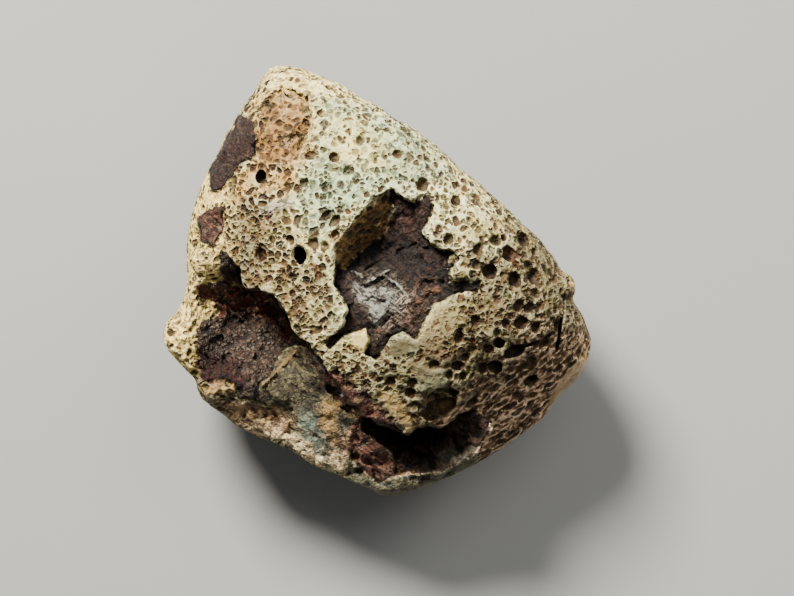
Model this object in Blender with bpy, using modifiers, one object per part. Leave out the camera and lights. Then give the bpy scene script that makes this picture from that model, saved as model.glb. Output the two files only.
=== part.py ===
"""Agate geode: a rough nodule lying on its worn back, with its broken, pitted face up.

The nodule is one solid. A blank of rind is shaped from its outline and from spot heights over its face, then the
low shelf along its left side, the star-shaped cavity, the scoop, the cave and its bowl are cut into it, and the
larger pits are dented into the rind. All lengths in the tables are millimetres, with X and Y from the middle of the
face and Z up from the surface that the nodule lies on.
"""
import math
import random

import bmesh
import bpy
import numpy as np
from mathutils import Vector, noise

MM = 0.001

# Overall size of the nodule.
WIDTH = 40.0
LENGTH = 40.2
HEIGHT = 25.0

# The blank: how square its shoulders are above and below its widest line, and how far below the resting face the
# curve of its back would reach.
SHOULDER = 3.7
BELLY = 2.15
BACK_DEPTH = 3.6
LUMP_HEIGHT = 1.5
LUMP_LENGTH = 11.0

# Mesh fineness: the grain of the cut solid and the number of triangles that it ends with.
GRAIN = 0.26
CUTTER_GRAIN = 0.30
TRIANGLES = 9600

# Outline of the nodule seen from above, clockwise from its peak.
OUTLINE = [
    (-9.9, 20.1), (-7.5, 20.0), (-5.3, 19.1), (-3.2, 18.2), (-1.6, 16.9), (0.2, 16.2), (1.3, 15.0), (3.1, 14.2),
    (5.8, 12.1), (8.0, 10.2), (10.4, 8.2), (13.2, 5.6), (15.1, 4.0), (15.9, 2.7), (16.5, 2.3), (17.1, 0.8),
    (18.1, 0.1), (18.3, -0.9), (18.1, -1.7), (19.2, -3.1), (20.1, -5.4), (19.8, -7.2), (18.8, -9.0), (17.1, -10.6),
    (16.1, -11.8), (15.6, -12.8), (13.2, -14.5), (10.4, -16.4), (8.2, -17.5), (5.8, -18.5), (3.0, -19.7),
    (1.6, -20.1), (0.2, -20.0), (-1.6, -18.9), (-3.9, -17.9), (-6.1, -17.2), (-7.5, -16.0), (-9.2, -14.9),
    (-10.7, -14.6), (-12.8, -13.8), (-14.6, -12.2), (-16.4, -11.0), (-16.9, -9.9), (-16.7, -9.1), (-18.1, -7.9),
    (-19.4, -6.7), (-20.1, -5.1), (-19.1, -3.4), (-17.9, -1.3), (-17.6, 0.2), (-17.8, 3.5), (-17.4, 6.3),
    (-16.1, 9.7), (-14.6, 12.3), (-13.3, 15.1), (-11.6, 17.5), (-10.6, 19.2),
]

# Height of the widest line around the nodule: angle in degrees from +X, height.
GIRTH = [(-180, 12.0), (-155, 12.5), (-130, 10.8), (-95, 9.6), (-60, 9.4), (-30, 10.4), (-12, 12.0), (10, 13.5),
         (45, 15.0), (90, 15.6), (115, 14.8), (140, 13.0), (165, 11.8), (180, 12.0)]

# Spot heights of the rind over the whole face, before anything is cut from it: x, y, z.
FACE_SPOTS = [
    (-9.5, 19.3, 22.0), (-7.2, 18.3, 23.0), (-10.9, 16.9, 23.0), (-5.3, 16.9, 23.8), (-3.5, 15.1, 24.2),
    (0.2, 14.6, 24.0), (-1.6, 11.4, 24.8), (2.1, 12.3, 24.2), (5.8, 10.4, 24.0), (-7.2, 9.5, 24.6),
    (-10.9, 9.5, 23.8), (-12.8, 7.7, 23.4), (-13.2, 3.9, 23.3), (-10.9, 4.9, 23.8), (-7.2, 4.9, 24.6),
    (-3.5, 7.7, 25.0), (-0.7, 9.5, 25.0), (5.8, 5.8, 24.8), (9.5, 5.8, 24.4), (13.2, 3.0, 23.8),
    (15.5, 1.6, 22.8), (-9.0, 1.2, 23.8), (-5.3, 0.2, 24.4), (-10.9, -0.2, 23.0), (-7.2, -3.5, 23.6),
    (-3.5, -1.6, 24.4), (8.6, 1.2, 24.8), (11.4, -0.7, 24.2), (15.1, -1.6, 23.2), (6.7, -3.5, 24.8),
    (9.5, -4.4, 24.0), (12.3, -4.4, 23.3), (3.9, -6.3, 24.2), (-1.6, -5.3, 23.8), (0.2, -8.1, 23.4),
    (-2.6, -8.6, 22.8), (2.1, -10.9, 22.2), (3.0, -13.2, 21.2), (4.9, -10.0, 22.8), (7.7, -8.1, 23.0),
    (11.4, -7.7, 21.8), (15.1, -6.3, 21.2), (17.9, -5.3, 19.8), (7.7, -10.9, 21.2), (10.4, -10.9, 19.8),
    (14.2, -9.5, 19.0), (16.9, -8.1, 18.0), (18.8, -6.3, 17.8), (9.5, -12.8, 18.6), (12.3, -12.8, 17.2),
    (15.1, -11.4, 16.6), (10.4, -15.1, 15.8), (-17.0, -4.0, 21.5), (-12.0, -9.0, 21.0), (-5.0, -15.0, 20.0),
    (3.0, -18.0, 18.0), (-16.0, 3.0, 22.0),
]

# The low shelf: its inner edge is the broken edge of the rind, and it runs out past the left and lower outline.
SHELF_EDGE = [
    (-11.3, 18.2), (-11.6, 16.9), (-11.6, 15.1), (-11.8, 13.5), (-11.1, 13.0), (-11.2, 11.6), (-12.8, 10.7),
    (-13.9, 9.7), (-14.1, 8.6), (-13.7, 7.4), (-13.7, 6.3), (-14.2, 3.9), (-13.5, 2.3), (-12.6, 1.2), (-12.2, -0.7),
    (-10.6, -0.8), (-8.9, -1.6), (-7.5, -4.7), (-6.1, -5.8), (-4.6, -7.9), (-4.0, -8.9), (-2.6, -10.7),
    (-1.2, -12.6), (0.7, -12.8), (2.1, -13.7), (3.0, -14.2), (3.2, -13.2), (5.3, -13.1), (5.9, -13.4),
    (6.7, -12.9), (7.3, -12.0), (8.6, -12.0), (9.5, -12.4), (10.4, -13.2), (9.5, -14.8), (9.7, -16.0),
    (10.9, -19.0), (10.0, -25.0), (-25.0, -25.0), (-25.0, 21.0), (-14.0, 21.0),
]
SHELF_SPOTS = [
    (-11.8, 16.9, 22.6), (-12.8, 16.5, 21.5), (-12.3, 14.2, 21.2), (-13.9, 13.2, 20.5), (-12.8, 11.4, 21.6),
    (-15.1, 9.5, 20.3), (-14.2, 7.7, 21.6), (-16.5, 7.7, 19.4), (-15.4, 5.3, 20.0), (-16.9, 4.9, 19.0),
    (-15.7, 1.9, 20.8), (-13.5, 1.2, 19.5), (-16.9, -0.7, 18.5), (-15.1, -1.6, 17.0), (-12.3, -2.6, 14.8),
    (-9.5, -3.5, 14.6), (-7.9, -5.8, 15.5), (-14.2, -4.9, 15.8), (-11.8, -6.3, 16.2), (-15.1, -8.1, 15.6),
    (-10.0, -7.7, 16.6), (-16.0, -6.3, 16.6), (-17.9, -5.3, 18.4), (-19.1, -4.6, 17.6), (-17.4, -3.3, 18.6),
    (-17.1, -7.7, 17.2), (-16.5, -1.6, 18.0), (-15.1, -10.0, 17.6), (-12.8, -10.3, 17.2), (-12.8, -12.0, 14.6),
    (-10.0, -12.5, 14.6), (-14.4, -11.5, 15.0), (-11.4, -13.9, 14.2), (-9.0, -14.3, 14.4), (-9.5, -10.4, 17.0),
    (-7.9, -11.1, 16.6), (-7.0, -7.4, 17.2), (-5.3, -9.8, 17.8), (-6.3, -11.1, 16.6), (-4.4, -12.0, 17.5),
    (-7.2, -13.7, 15.8), (-5.3, -14.8, 15.8), (-3.5, -13.7, 16.6), (-3.0, -16.5, 14.8), (-5.3, -17.0, 13.8),
    (-1.6, -14.6, 16.2), (-0.7, -17.4, 14.5), (0.2, -19.3, 13.6), (2.1, -18.5, 14.4), (4.9, -18.3, 14.4),
    (7.7, -17.2, 14.6), (9.1, -16.0, 15.6), (2.1, -17.1, 15.2), (0.7, -16.0, 16.3), (-6.1, -6.5, 20.2),
    (-4.7, -8.5, 19.8), (-2.9, -10.2, 19.2), (-1.4, -11.6, 18.8),
]

# The star-shaped cavity in the middle of the face.
STAR_EDGE = [
    (1.4, 8.4), (2.5, 7.5), (3.4, 7.2), (3.9, 7.9), (5.3, 8.0), (5.0, 6.9), (4.9, 6.3), (4.0, 4.4), (4.9, 3.4),
    (5.9, 2.7), (6.9, 2.8), (7.5, 2.1), (6.6, 1.2), (6.5, 0.0), (9.4, 0.1), (9.4, -0.7), (7.2, -0.9), (5.8, -1.8),
    (5.1, -1.9), (4.4, -3.3), (3.5, -5.2), (2.3, -4.4), (1.2, -5.1), (-0.1, -7.0), (-1.1, -6.5), (-0.6, -5.2),
    (-1.1, -4.2), (-2.4, -4.6), (-4.4, -5.9), (-4.9, -5.6), (-3.0, -3.9), (-2.6, -2.4), (-3.2, -1.4), (-3.9, 0.0),
    (-3.7, 1.9), (-4.0, 3.6), (-2.4, 5.2), (-1.2, 6.5), (0.2, 7.8),
]
STAR_SPOTS = [
    (1.6, 7.2, 23.8), (-0.2, 6.3, 22.6), (-2.1, 3.9, 21.5), (-3.0, 2.6, 21.5), (1.2, 4.9, 22.1), (3.0, 5.3, 23.1),
    (4.9, 7.5, 23.9), (3.5, 6.3, 23.5), (2.1, 3.0, 21.9), (-0.2, 2.6, 20.9), (3.9, 2.6, 22.9), (5.8, 1.9, 23.7),
    (6.9, 2.3, 24.1), (4.9, 0.7, 23.4), (2.1, 0.7, 22.7), (-1.2, 1.6, 21.5), (-2.6, 1.2, 22.3), (-3.0, -0.2, 23.2),
    (0.2, -1.6, 23.5), (2.1, -1.6, 23.4), (3.0, -0.7, 23.3), (5.8, -0.7, 23.5), (8.1, -0.3, 23.7),
    (9.3, -0.2, 24.0), (-1.6, -1.6, 23.4), (-2.1, -3.3, 23.3), (-3.0, -4.4, 23.2), (-4.4, -5.7, 23.2),
    (0.2, -3.9, 23.2), (2.1, -3.9, 23.1), (3.5, -4.4, 23.0), (4.4, -2.6, 23.3), (-0.2, -5.8, 22.8),
    (-0.9, -6.7, 23.0),
]

# The cave under the lower tip of the rind.
CAVE_EDGE = [
    (-1.4, -12.3), (0.2, -13.2), (1.6, -13.9), (3.1, -14.2), (3.5, -13.5), (4.9, -13.3), (5.8, -13.6), (6.9, -13.0),
    (7.5, -12.1), (8.6, -11.8), (9.7, -12.3), (10.4, -13.5), (9.3, -14.9), (8.6, -16.0), (7.2, -16.8),
    (5.8, -17.4), (3.9, -17.6), (2.1, -17.0), (1.6, -16.0), (1.0, -15.3), (-0.2, -14.6), (-1.4, -13.7),
]
CAVE_SPOTS = [
    (2.1, -14.6, 9.6), (5.8, -15.1, 9.0), (7.7, -14.2, 10.4), (9.5, -13.2, 13.4), (3.5, -16.7, 11.6),
    (7.2, -16.3, 12.2), (0.7, -13.7, 12.0), (-0.7, -13.2, 14.4), (1.6, -15.5, 13.0), (5.8, -17.0, 13.4),
]

# The yellow-tan scoop near the peak, steep along its right side.
SCOOP_EDGE = [(-6.9, 16.7), (-6.3, 15.7), (-6.0, 14.2), (-6.5, 12.3), (-7.2, 11.2), (-8.6, 10.3), (-10.0, 10.9),
              (-10.9, 12.3), (-10.7, 14.2), (-9.5, 15.8), (-8.1, 16.6)]
SCOOP_SPOTS = [(-8.1, 16.0, 23.5), (-10.0, 15.1, 23.3), (-6.7, 14.6, 22.5), (-7.2, 12.8, 22.6), (-8.6, 14.2, 22.7),
               (-10.0, 12.3, 23.1), (-8.1, 11.4, 23.4)]

# Rounded hollows that reach in under an edge: centre x, y, z, then half sizes and the turn about Z in degrees.
UNDERCUTS = [
    (4.6, -13.6, 13.2, 5.2, 3.2, 4.2, -8.0),
    (-10.2, -2.6, 16.8, 3.4, 1.7, 2.2, -32.0),
    (-7.0, -6.2, 17.0, 2.6, 1.3, 1.8, -52.0),
    (-0.6, 4.6, 21.2, 3.4, 1.6, 1.6, 48.0),
    (6.2, -11.2, 21.6, 1.9, 1.6, 1.5, 12.0),
    (12.7, -6.4, 22.6, 1.15, 0.95, 1.6, 10.0),
    (14.4, -9.0, 19.6, 1.0, 0.45, 1.2, 38.0),
    (-7.1, 2.4, 24.2, 0.72, 0.98, 1.7, 8.0),
    (-10.7, 9.5, 23.6, 0.7, 0.75, 1.3, 0.0),
]

# Lumps added to the rind: centre x, y, z, then half sizes and the turn about Z in degrees.
LUMPS = [
    (17.0, -0.5, 16.5, 1.4, 1.5, 2.8, 0.0),
    (-18.0, -5.0, 15.6, 1.9, 2.2, 3.0, 20.0),
    (-15.6, 1.9, 18.8, 1.6, 1.5, 2.2, 0.0),
    (-13.9, -10.4, 15.8, 2.3, 0.9, 1.9, -8.0),
]

# Larger round pits of the face: x, y, radius.
PITS = [
    (-10.4, 16.2, 0.56), (-6.0, 11.5, 0.46), (-5.2, 15.4, 0.37), (-4.4, 17.9, 0.46), (-1.5, 12.9, 0.46),
    (0.0, 15.9, 0.46), (-2.6, 10.2, 0.56), (-3.9, 11.4, 0.56), (-6.7, 9.0, 0.46), (-7.0, 7.6, 0.37),
    (-4.7, 8.5, 0.37), (-4.6, 6.1, 0.46), (-3.8, 5.5, 0.46), (-2.7, 5.2, 0.56), (-3.9, 4.3, 0.46),
    (-4.7, 3.2, 0.46), (-5.8, 3.4, 0.56), (-7.8, 3.9, 0.46), (-9.6, 3.9, 0.46), (-7.6, 0.5, 0.46),
    (-10.5, 2.5, 0.56), (-12.5, 6.0, 0.37), (4.2, 8.9, 0.65), (1.9, 11.6, 0.46), (4.6, 11.2, 0.46),
    (3.2, 13.5, 0.46), (8.0, 8.6, 0.46), (7.1, 7.4, 0.56), (9.1, 7.8, 0.46), (10.7, 7.4, 0.37), (6.5, 3.9, 0.56),
    (9.1, 2.9, 0.56), (11.9, 2.6, 0.74), (10.7, 3.8, 0.56), (13.4, 3.9, 0.74), (14.4, 2.8, 0.37),
    (12.5, 0.2, 0.74), (14.3, 0.5, 0.74), (13.8, 1.5, 0.46), (16.4, 0.3, 0.46), (10.2, 1.0, 0.74),
    (8.5, 5.6, 0.46), (7.7, 0.2, 0.37), (12.9, -2.1, 0.56), (13.8, -2.4, 0.56), (14.9, -2.2, 0.37),
    (14.6, -3.1, 0.37), (13.2, -3.7, 0.65), (14.5, -4.1, 0.56), (16.6, -4.0, 0.56), (10.9, -4.7, 0.37),
    (11.1, -5.5, 0.56), (8.7, -6.2, 0.46), (10.2, -6.0, 0.56), (8.0, -6.8, 0.46), (7.4, -7.6, 0.56),
    (10.8, -7.7, 0.74), (9.7, -7.9, 0.56), (14.2, -7.2, 0.46), (6.5, -8.5, 0.46), (7.8, -8.6, 0.46),
    (5.2, -7.5, 0.46), (9.0, -3.5, 0.56), (7.5, -5.0, 0.46), (3.3, -11.4, 0.37), (1.3, -9.0, 0.46),
    (3.2, -9.2, 0.46), (3.0, -10.1, 0.65), (4.9, -10.3, 0.46), (7.0, -10.0, 0.46),
]
SIDE_PITS = 46
SIDE_PIT_RADIUS = (0.45, 0.95)

RIND_COLOUR = (0.52, 0.45, 0.33, 1.0)


def spot_surface(spots):
    """Smooth surface through spot heights, as a function of x and y."""
    table = np.array(spots)
    plan = table[:, :2]
    count = len(table)

    def kernel(a, b):
        gap = np.hypot(a[:, 0:1] - b[:, 0], a[:, 1:2] - b[:, 1])
        return gap ** 2 * np.log(np.maximum(gap, 1e-9))

    system = np.zeros((count + 3, count + 3))
    system[:count, :count] = kernel(plan, plan) + 0.4 * np.eye(count)
    system[:count, count] = 1.0
    system[:count, count + 1:] = plan
    system[count, :count] = 1.0
    system[count + 1:, :count] = plan.T
    weights = np.linalg.solve(system, np.append(table[:, 2], (0.0, 0.0, 0.0)))
    low = table[:, 2].min() - 1.0
    high = table[:, 2].max() + 0.6

    def height(x, y):
        points = np.stack([x, y], axis=1)
        plane = weights[count] + points @ weights[count + 1:]
        return np.clip(kernel(points, plan) @ weights[:count] + plane, low, high)

    return height


def shoulder_curve(power, radius, height):
    """Points of a squared quarter curve at even steps along its length: reach 0..1 and height 1..0."""
    turn = np.linspace(0.0, math.pi / 2, 400)
    reach = np.sin(turn) ** (2.0 / power)
    rise = np.cos(turn) ** (2.0 / power)
    steps = np.hypot(np.diff(reach) * radius, np.diff(rise) * height)
    along = np.concatenate([[0.0], np.cumsum(steps)])
    return along / along[-1], reach, rise


def read_points(mesh):
    flat = np.empty(len(mesh.vertices) * 3)
    mesh.vertices.foreach_get("co", flat)
    return flat.reshape(-1, 3) / MM


def write_points(mesh, points):
    mesh.vertices.foreach_set("co", (points * MM).ravel())
    mesh.update()


def read_normals(mesh):
    flat = np.empty(len(mesh.vertices) * 3)
    mesh.vertex_normals.foreach_get("vector", flat)
    return flat.reshape(-1, 3)


def add_object(name, mesh, group):
    item = bpy.data.objects.new(name, mesh)
    group.objects.link(item)
    return item


def hide_cutter(item):
    item.hide_render = True
    item.display_type = "WIRE"


def evaluated_mesh(item):
    graph = bpy.context.evaluated_depsgraph_get()
    graph.update()
    return bpy.data.meshes.new_from_object(item.evaluated_get(graph), depsgraph=graph)


def apply_modifiers(item):
    mesh = evaluated_mesh(item)
    item.modifiers.clear()
    item.data = mesh
    return mesh


def remesh(item, grain):
    modifier = item.modifiers.new("Grain", "REMESH")
    modifier.mode = "VOXEL"
    modifier.voxel_size = grain * MM
    return apply_modifiers(item)


def icosphere(name, subdivisions):
    mesh = bpy.data.meshes.new(name)
    shape = bmesh.new()
    bmesh.ops.create_icosphere(shape, subdivisions=subdivisions, radius=1.0)
    shape.to_mesh(mesh)
    shape.free()
    return mesh


def ellipsoid(name, group, values, subdivisions=4):
    x, y, z, half_x, half_y, half_z, turn = values
    item = add_object(name, icosphere(name, subdivisions), group)
    item.location = Vector((x, y, z)) * MM
    item.scale = Vector((half_x, half_y, half_z)) * MM
    item.rotation_euler = (0.0, 0.0, math.radians(turn))
    return item


def lumps(points, length, seed):
    """Rolling unevenness, about -1 to 1, at each point."""
    offset = Vector((seed * 17.3, seed * 5.1, seed * 9.7))
    return np.array([noise.fractal(Vector(p) / length + offset, 0.8, 2.1, 3) for p in points])


def blank(group):
    """The whole nodule of rind, before its hollows are cut."""
    mesh = icosphere("agate_geode", 7)
    flat = np.empty(len(mesh.vertices) * 3)
    mesh.vertices.foreach_get("co", flat)
    ball = flat.reshape(-1, 3)
    angle = np.degrees(np.arctan2(ball[:, 1], ball[:, 0]))
    outline = np.array(OUTLINE)
    around = np.degrees(np.arctan2(outline[:, 1], outline[:, 0]))
    order = np.argsort(around)
    reach_at = np.hypot(outline[:, 0], outline[:, 1])[order]
    radius = np.interp(angle, around[order], reach_at, period=360.0)
    turns = np.linspace(-40.0, 40.0, 33)
    share = np.exp(-(turns / 14.0) ** 2)
    rounded = sum(w * np.interp(angle + t, around[order], reach_at, period=360.0) for t, w in zip(turns, share))
    rounded = rounded / share.sum()
    girth = np.interp(angle, [a for a, z in GIRTH], [z for a, z in GIRTH])
    slope = np.arccos(np.clip(np.abs(ball[:, 2]), 0.0, 1.0)) / (math.pi / 2)
    top = ball[:, 2] >= 0.0
    along, reach, rise = shoulder_curve(SHOULDER, 19.0, 12.0)
    along_low, reach_low, rise_low = shoulder_curve(BELLY, 19.0, 15.0)
    out = np.where(top, np.interp(slope, along, reach), np.interp(slope, along_low, reach_low))
    lift = np.where(top, np.interp(slope, along, rise), np.interp(slope, along_low, rise_low))
    soften = np.clip(lift * np.where(top, 0.9, 2.2), 0.0, 1.0)
    radius = radius + (rounded - radius) * soften
    taper = 1.0 - 0.10 * np.where(top, 0.0, lift) * (1.0 + np.cos(np.radians(angle - 62.0)))
    x = radius * taper * out * np.cos(np.radians(angle))
    y = radius * taper * out * np.sin(np.radians(angle))
    face = spot_surface(FACE_SPOTS)(x, y)
    z = np.where(top, girth + (face - girth) * lift, girth - (girth + BACK_DEPTH) * lift)
    points = np.stack([x, y, z], axis=1)
    write_points(mesh, points)
    away = np.clip(np.abs(points[:, 2] - girth) / 7.0, 0.05, 1.0) * np.where(top, 0.35, 1.0)
    push = lumps(points, LUMP_LENGTH, 1) * LUMP_HEIGHT * away
    points += read_normals(mesh) * push[:, None]
    write_points(mesh, points)
    return add_object("agate_geode", mesh, group)


def plug(name, group, edge, spots):
    """Cutter with an upright wall along the edge and an uneven lower face through the spot heights."""
    curve = bpy.data.curves.new(name, "CURVE")
    curve.dimensions = "2D"
    curve.fill_mode = "BOTH"
    curve.extrude = 1.5 * MM
    spline = curve.splines.new("POLY")
    spline.points.add(len(edge) - 1)
    for point, (x, y) in zip(spline.points, edge):
        point.co = (x * MM, y * MM, 0.0, 1.0)
    spline.use_cyclic_u = True
    outline = add_object(name + "_outline", curve, group)
    mesh = evaluated_mesh(outline)
    shape = bmesh.new()
    shape.from_mesh(mesh)
    bmesh.ops.remove_doubles(shape, verts=shape.verts, dist=0.00001)
    bmesh.ops.recalc_face_normals(shape, faces=shape.faces)
    shape.to_mesh(mesh)
    shape.free()
    bpy.data.objects.remove(outline)
    item = add_object(name, mesh, group)
    mesh = remesh(item, CUTTER_GRAIN)
    points = read_points(mesh)
    share = np.clip((points[:, 2] + 1.5) / 3.0, 0.0, 1.0)
    floor = spot_surface(spots)(points[:, 0], points[:, 1])
    points[:, 2] = floor + (29.0 - floor) * share
    write_points(mesh, points)
    return item


def combine(item, other, operation):
    modifier = item.modifiers.new(other.name, "BOOLEAN")
    modifier.operation = operation
    modifier.solver = "EXACT"
    modifier.object = other
    apply_modifiers(item)


def dent(points, normals, pits):
    """Push the surface inside each pit's sphere out to the far side of that sphere."""
    for centre, axis, radius in pits:
        gap = points - centre
        near = np.nonzero((gap * gap).sum(axis=1) < radius * radius)[0]
        along = gap[near] @ axis
        aside = (gap[near] ** 2).sum(axis=1) - along ** 2
        depth = along + np.sqrt(np.maximum(radius * radius - aside, 0.0))
        points[near] -= depth[:, None] * axis


def pit_spheres(points, normals):
    """Spheres of the listed pits of the face and of the scattered pits around the sides."""
    rng = random.Random(41)
    pits = []
    facing = normals[:, 2] > 0.45
    for x, y, radius in PITS:
        gap = np.hypot(points[:, 0] - x, points[:, 1] - y) + np.where(facing, 0.0, 50.0)
        near = int(np.argmin(gap))
        axis = normals[near]
        pits.append((points[near] + axis * radius * 0.12, axis, radius * 1.08))
    sides = np.nonzero((np.abs(normals[:, 2]) < 0.6) & (points[:, 2] > 3.0) & (points[:, 2] < 19.0))[0]
    taken = []
    while len(taken) < SIDE_PITS:
        near = sides[rng.randrange(len(sides))]
        radius = rng.uniform(*SIDE_PIT_RADIUS)
        spot = points[near]
        if np.hypot(spot[0], spot[1]) < 13.5 or any(np.linalg.norm(spot - other) < 2.6 for other in taken):
            continue
        taken.append(spot.copy())
        axis = normals[near]
        pits.append((spot + axis * radius * 0.2, axis, radius))
    return pits


def reduce_to(item, triangles):
    count = sum(len(face.vertices) - 2 for face in item.data.polygons)
    modifier = item.modifiers.new("Reduce", "DECIMATE")
    modifier.decimate_type = "COLLAPSE"
    modifier.ratio = triangles / count
    modifier.use_collapse_triangulate = True
    return apply_modifiers(item)


def settle(mesh):
    """Set the nodule on its flat back, centred, at its stated size."""
    points = read_points(mesh)
    points[:, 2] = np.where(points[:, 2] < 0.03, 0.0, points[:, 2])
    low = points.min(axis=0)
    high = points.max(axis=0)
    middle = (low + high) / 2
    middle[2] = 0.0
    points = (points - middle) * (np.array([WIDTH, LENGTH, HEIGHT]) / (high - low))
    write_points(mesh, points)


def clean(mesh):
    shape = bmesh.new()
    shape.from_mesh(mesh)
    bmesh.ops.triangulate(shape, faces=shape.faces)
    bmesh.ops.dissolve_degenerate(shape, edges=shape.edges, dist=0.00002)
    bmesh.ops.triangulate(shape, faces=shape.faces)
    shape.to_mesh(mesh)
    shape.free()


def stone_material():
    material = bpy.data.materials.new("pitted_agate")
    material.use_nodes = True
    shader = material.node_tree.nodes["Principled BSDF"]
    shader.inputs["Base Color"].default_value = RIND_COLOUR
    shader.inputs["Roughness"].default_value = 0.72
    shader.inputs["Metallic"].default_value = 0.0
    return material


def build():
    for item in list(bpy.data.objects):
        bpy.data.objects.remove(item)
    parts = bpy.data.collections.new("Agate geode")
    cutters = bpy.data.collections.new("Cutters")
    bpy.context.scene.collection.children.link(parts)
    bpy.context.scene.collection.children.link(cutters)

    nodule = blank(parts)
    hollows = [
        plug("shelf", cutters, SHELF_EDGE, SHELF_SPOTS),
        plug("star", cutters, STAR_EDGE, STAR_SPOTS),
        plug("cave", cutters, CAVE_EDGE, CAVE_SPOTS),
        plug("scoop", cutters, SCOOP_EDGE, SCOOP_SPOTS),
    ]
    for hollow in hollows:
        combine(nodule, hollow, "DIFFERENCE")
    for index, values in enumerate(LUMPS):
        combine(nodule, ellipsoid("lump_%d" % index, cutters, values), "UNION")
    for index, values in enumerate(UNDERCUTS):
        combine(nodule, ellipsoid("undercut_%d" % index, cutters, values), "DIFFERENCE")
    for item in cutters.objects:
        hide_cutter(item)

    mesh = remesh(nodule, GRAIN)
    points = read_points(mesh)
    normals = read_normals(mesh)
    dent(points, normals, pit_spheres(points, normals))
    points[:, 2] = np.maximum(points[:, 2], 0.0)
    write_points(mesh, points)
    mesh = reduce_to(nodule, TRIANGLES)
    clean(mesh)
    settle(mesh)
    mesh.name = "agate_geode"
    mesh.materials.clear()
    mesh.materials.append(stone_material())
    mesh.shade_smooth()
    mesh.set_sharp_from_angle(angle=math.radians(35.0))


build()
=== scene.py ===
import math
import random
from functools import partial
from itertools import product
from types import SimpleNamespace

import bpy
import numpy as np
import openvdb
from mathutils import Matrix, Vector


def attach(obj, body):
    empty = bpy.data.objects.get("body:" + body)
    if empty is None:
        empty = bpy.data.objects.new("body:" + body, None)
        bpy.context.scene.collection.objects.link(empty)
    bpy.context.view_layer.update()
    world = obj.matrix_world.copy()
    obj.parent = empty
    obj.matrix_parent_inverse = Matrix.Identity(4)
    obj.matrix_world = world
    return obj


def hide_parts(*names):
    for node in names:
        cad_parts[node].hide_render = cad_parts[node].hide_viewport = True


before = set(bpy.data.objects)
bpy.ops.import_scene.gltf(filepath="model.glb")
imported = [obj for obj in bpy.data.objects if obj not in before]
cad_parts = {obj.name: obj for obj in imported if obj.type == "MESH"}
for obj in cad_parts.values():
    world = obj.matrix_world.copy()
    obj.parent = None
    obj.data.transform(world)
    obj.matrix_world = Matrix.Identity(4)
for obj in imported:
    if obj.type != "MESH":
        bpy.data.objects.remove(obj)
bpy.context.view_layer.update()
NODE = "agate_geode"

# Everything below is in millimetres until the mesh is made. X and Y run from the middle of the face, Z up
# from the floor that the nodule lies on. The solid becomes a grid of signed distances, the hollows are cut in
# that, and its surface becomes the skin.
GRAIN = 0.12  # between two places of the grid
GRID_LOW = (-21.2, -21.2, -0.8)
GRID_HIGH = (21.2, 21.2, 26.4)
BAND = 0.9  # distances are true as far as this from the surface
SOFTENED = 0.24  # how far the edges of the solid's facets are evened out
TRIANGLES = 194000
RISE = 0.9893  # the solid's heights are this share of the spot heights that it was shaped from
FAR = 1e9
RIM_REACH = -0.4  # a pit is known of as far as this outside it
EDGE_REACH = 0.6  # an outline changes the grid no further out than this
PITS_FROM = 0.7  # no pit's middle lies lower
RESTING = 0.06  # what lies lower is pressed flat on the floor
PIT_UNEVEN = 0.19  # share of its size that the wall of a pit wanders by
HOLE_UNEVEN = 0.06
NO_STONE = -5.0  # a height under the floor, where a column of the grid holds no stone

# The flank falls away to the lower right of the face, and holds two patches of honey-coloured chalcedony.
FLANK_START = (3.9, -10.9)
FLANK_WAY = (0.617, -0.787)
HONEY_MIDDLE = 14.0
HONEY_REACH = 4.0

# The camera sees as much of the stone's plane as the photo does, which is 794 pixels wide. The stone takes 433.
PHOTO_PIXELS = 794.0
STONE_PIXELS = 433.0
STONE_WIDTH = 40.0
CAMERA_AIM = (0.0018, -0.00144, 0.017)  # metres
LIGHT_AIM = (0.0, 0.0, 0.015)  # metres

# The edge in plan of the star-shaped hollow, and spot heights (x, y, z) of its floor. The same follows for
# the shelf at the lower left and for the cave, and then spot heights of the wall on the star's upper left side.
STAR_EDGE = [
    (1.4, 8.4), (2.5, 7.5), (3.4, 7.2), (3.9, 7.9), (5.3, 8.0), (5.0, 6.9), (4.9, 6.3), (4.0, 4.4),
    (4.9, 3.4), (5.9, 2.7), (6.9, 2.8), (7.5, 2.1), (6.6, 1.2), (6.5, 0.0), (9.4, 0.1), (9.4, -0.7),
    (7.2, -0.9), (5.8, -1.8), (5.1, -1.9), (4.4, -3.3), (3.5, -5.2), (2.3, -4.4), (1.2, -5.1), (-0.1, -7.0),
    (-1.1, -6.5), (-0.6, -5.2), (-1.1, -4.2), (-2.4, -4.6), (-4.4, -5.9), (-4.9, -5.6), (-3.0, -3.9),
    (-2.6, -2.4), (-3.2, -1.4), (-3.9, 0.0), (-3.7, 1.9), (-4.0, 3.6), (-2.4, 5.2), (-1.2, 6.5), (0.2, 7.8),
]
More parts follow.
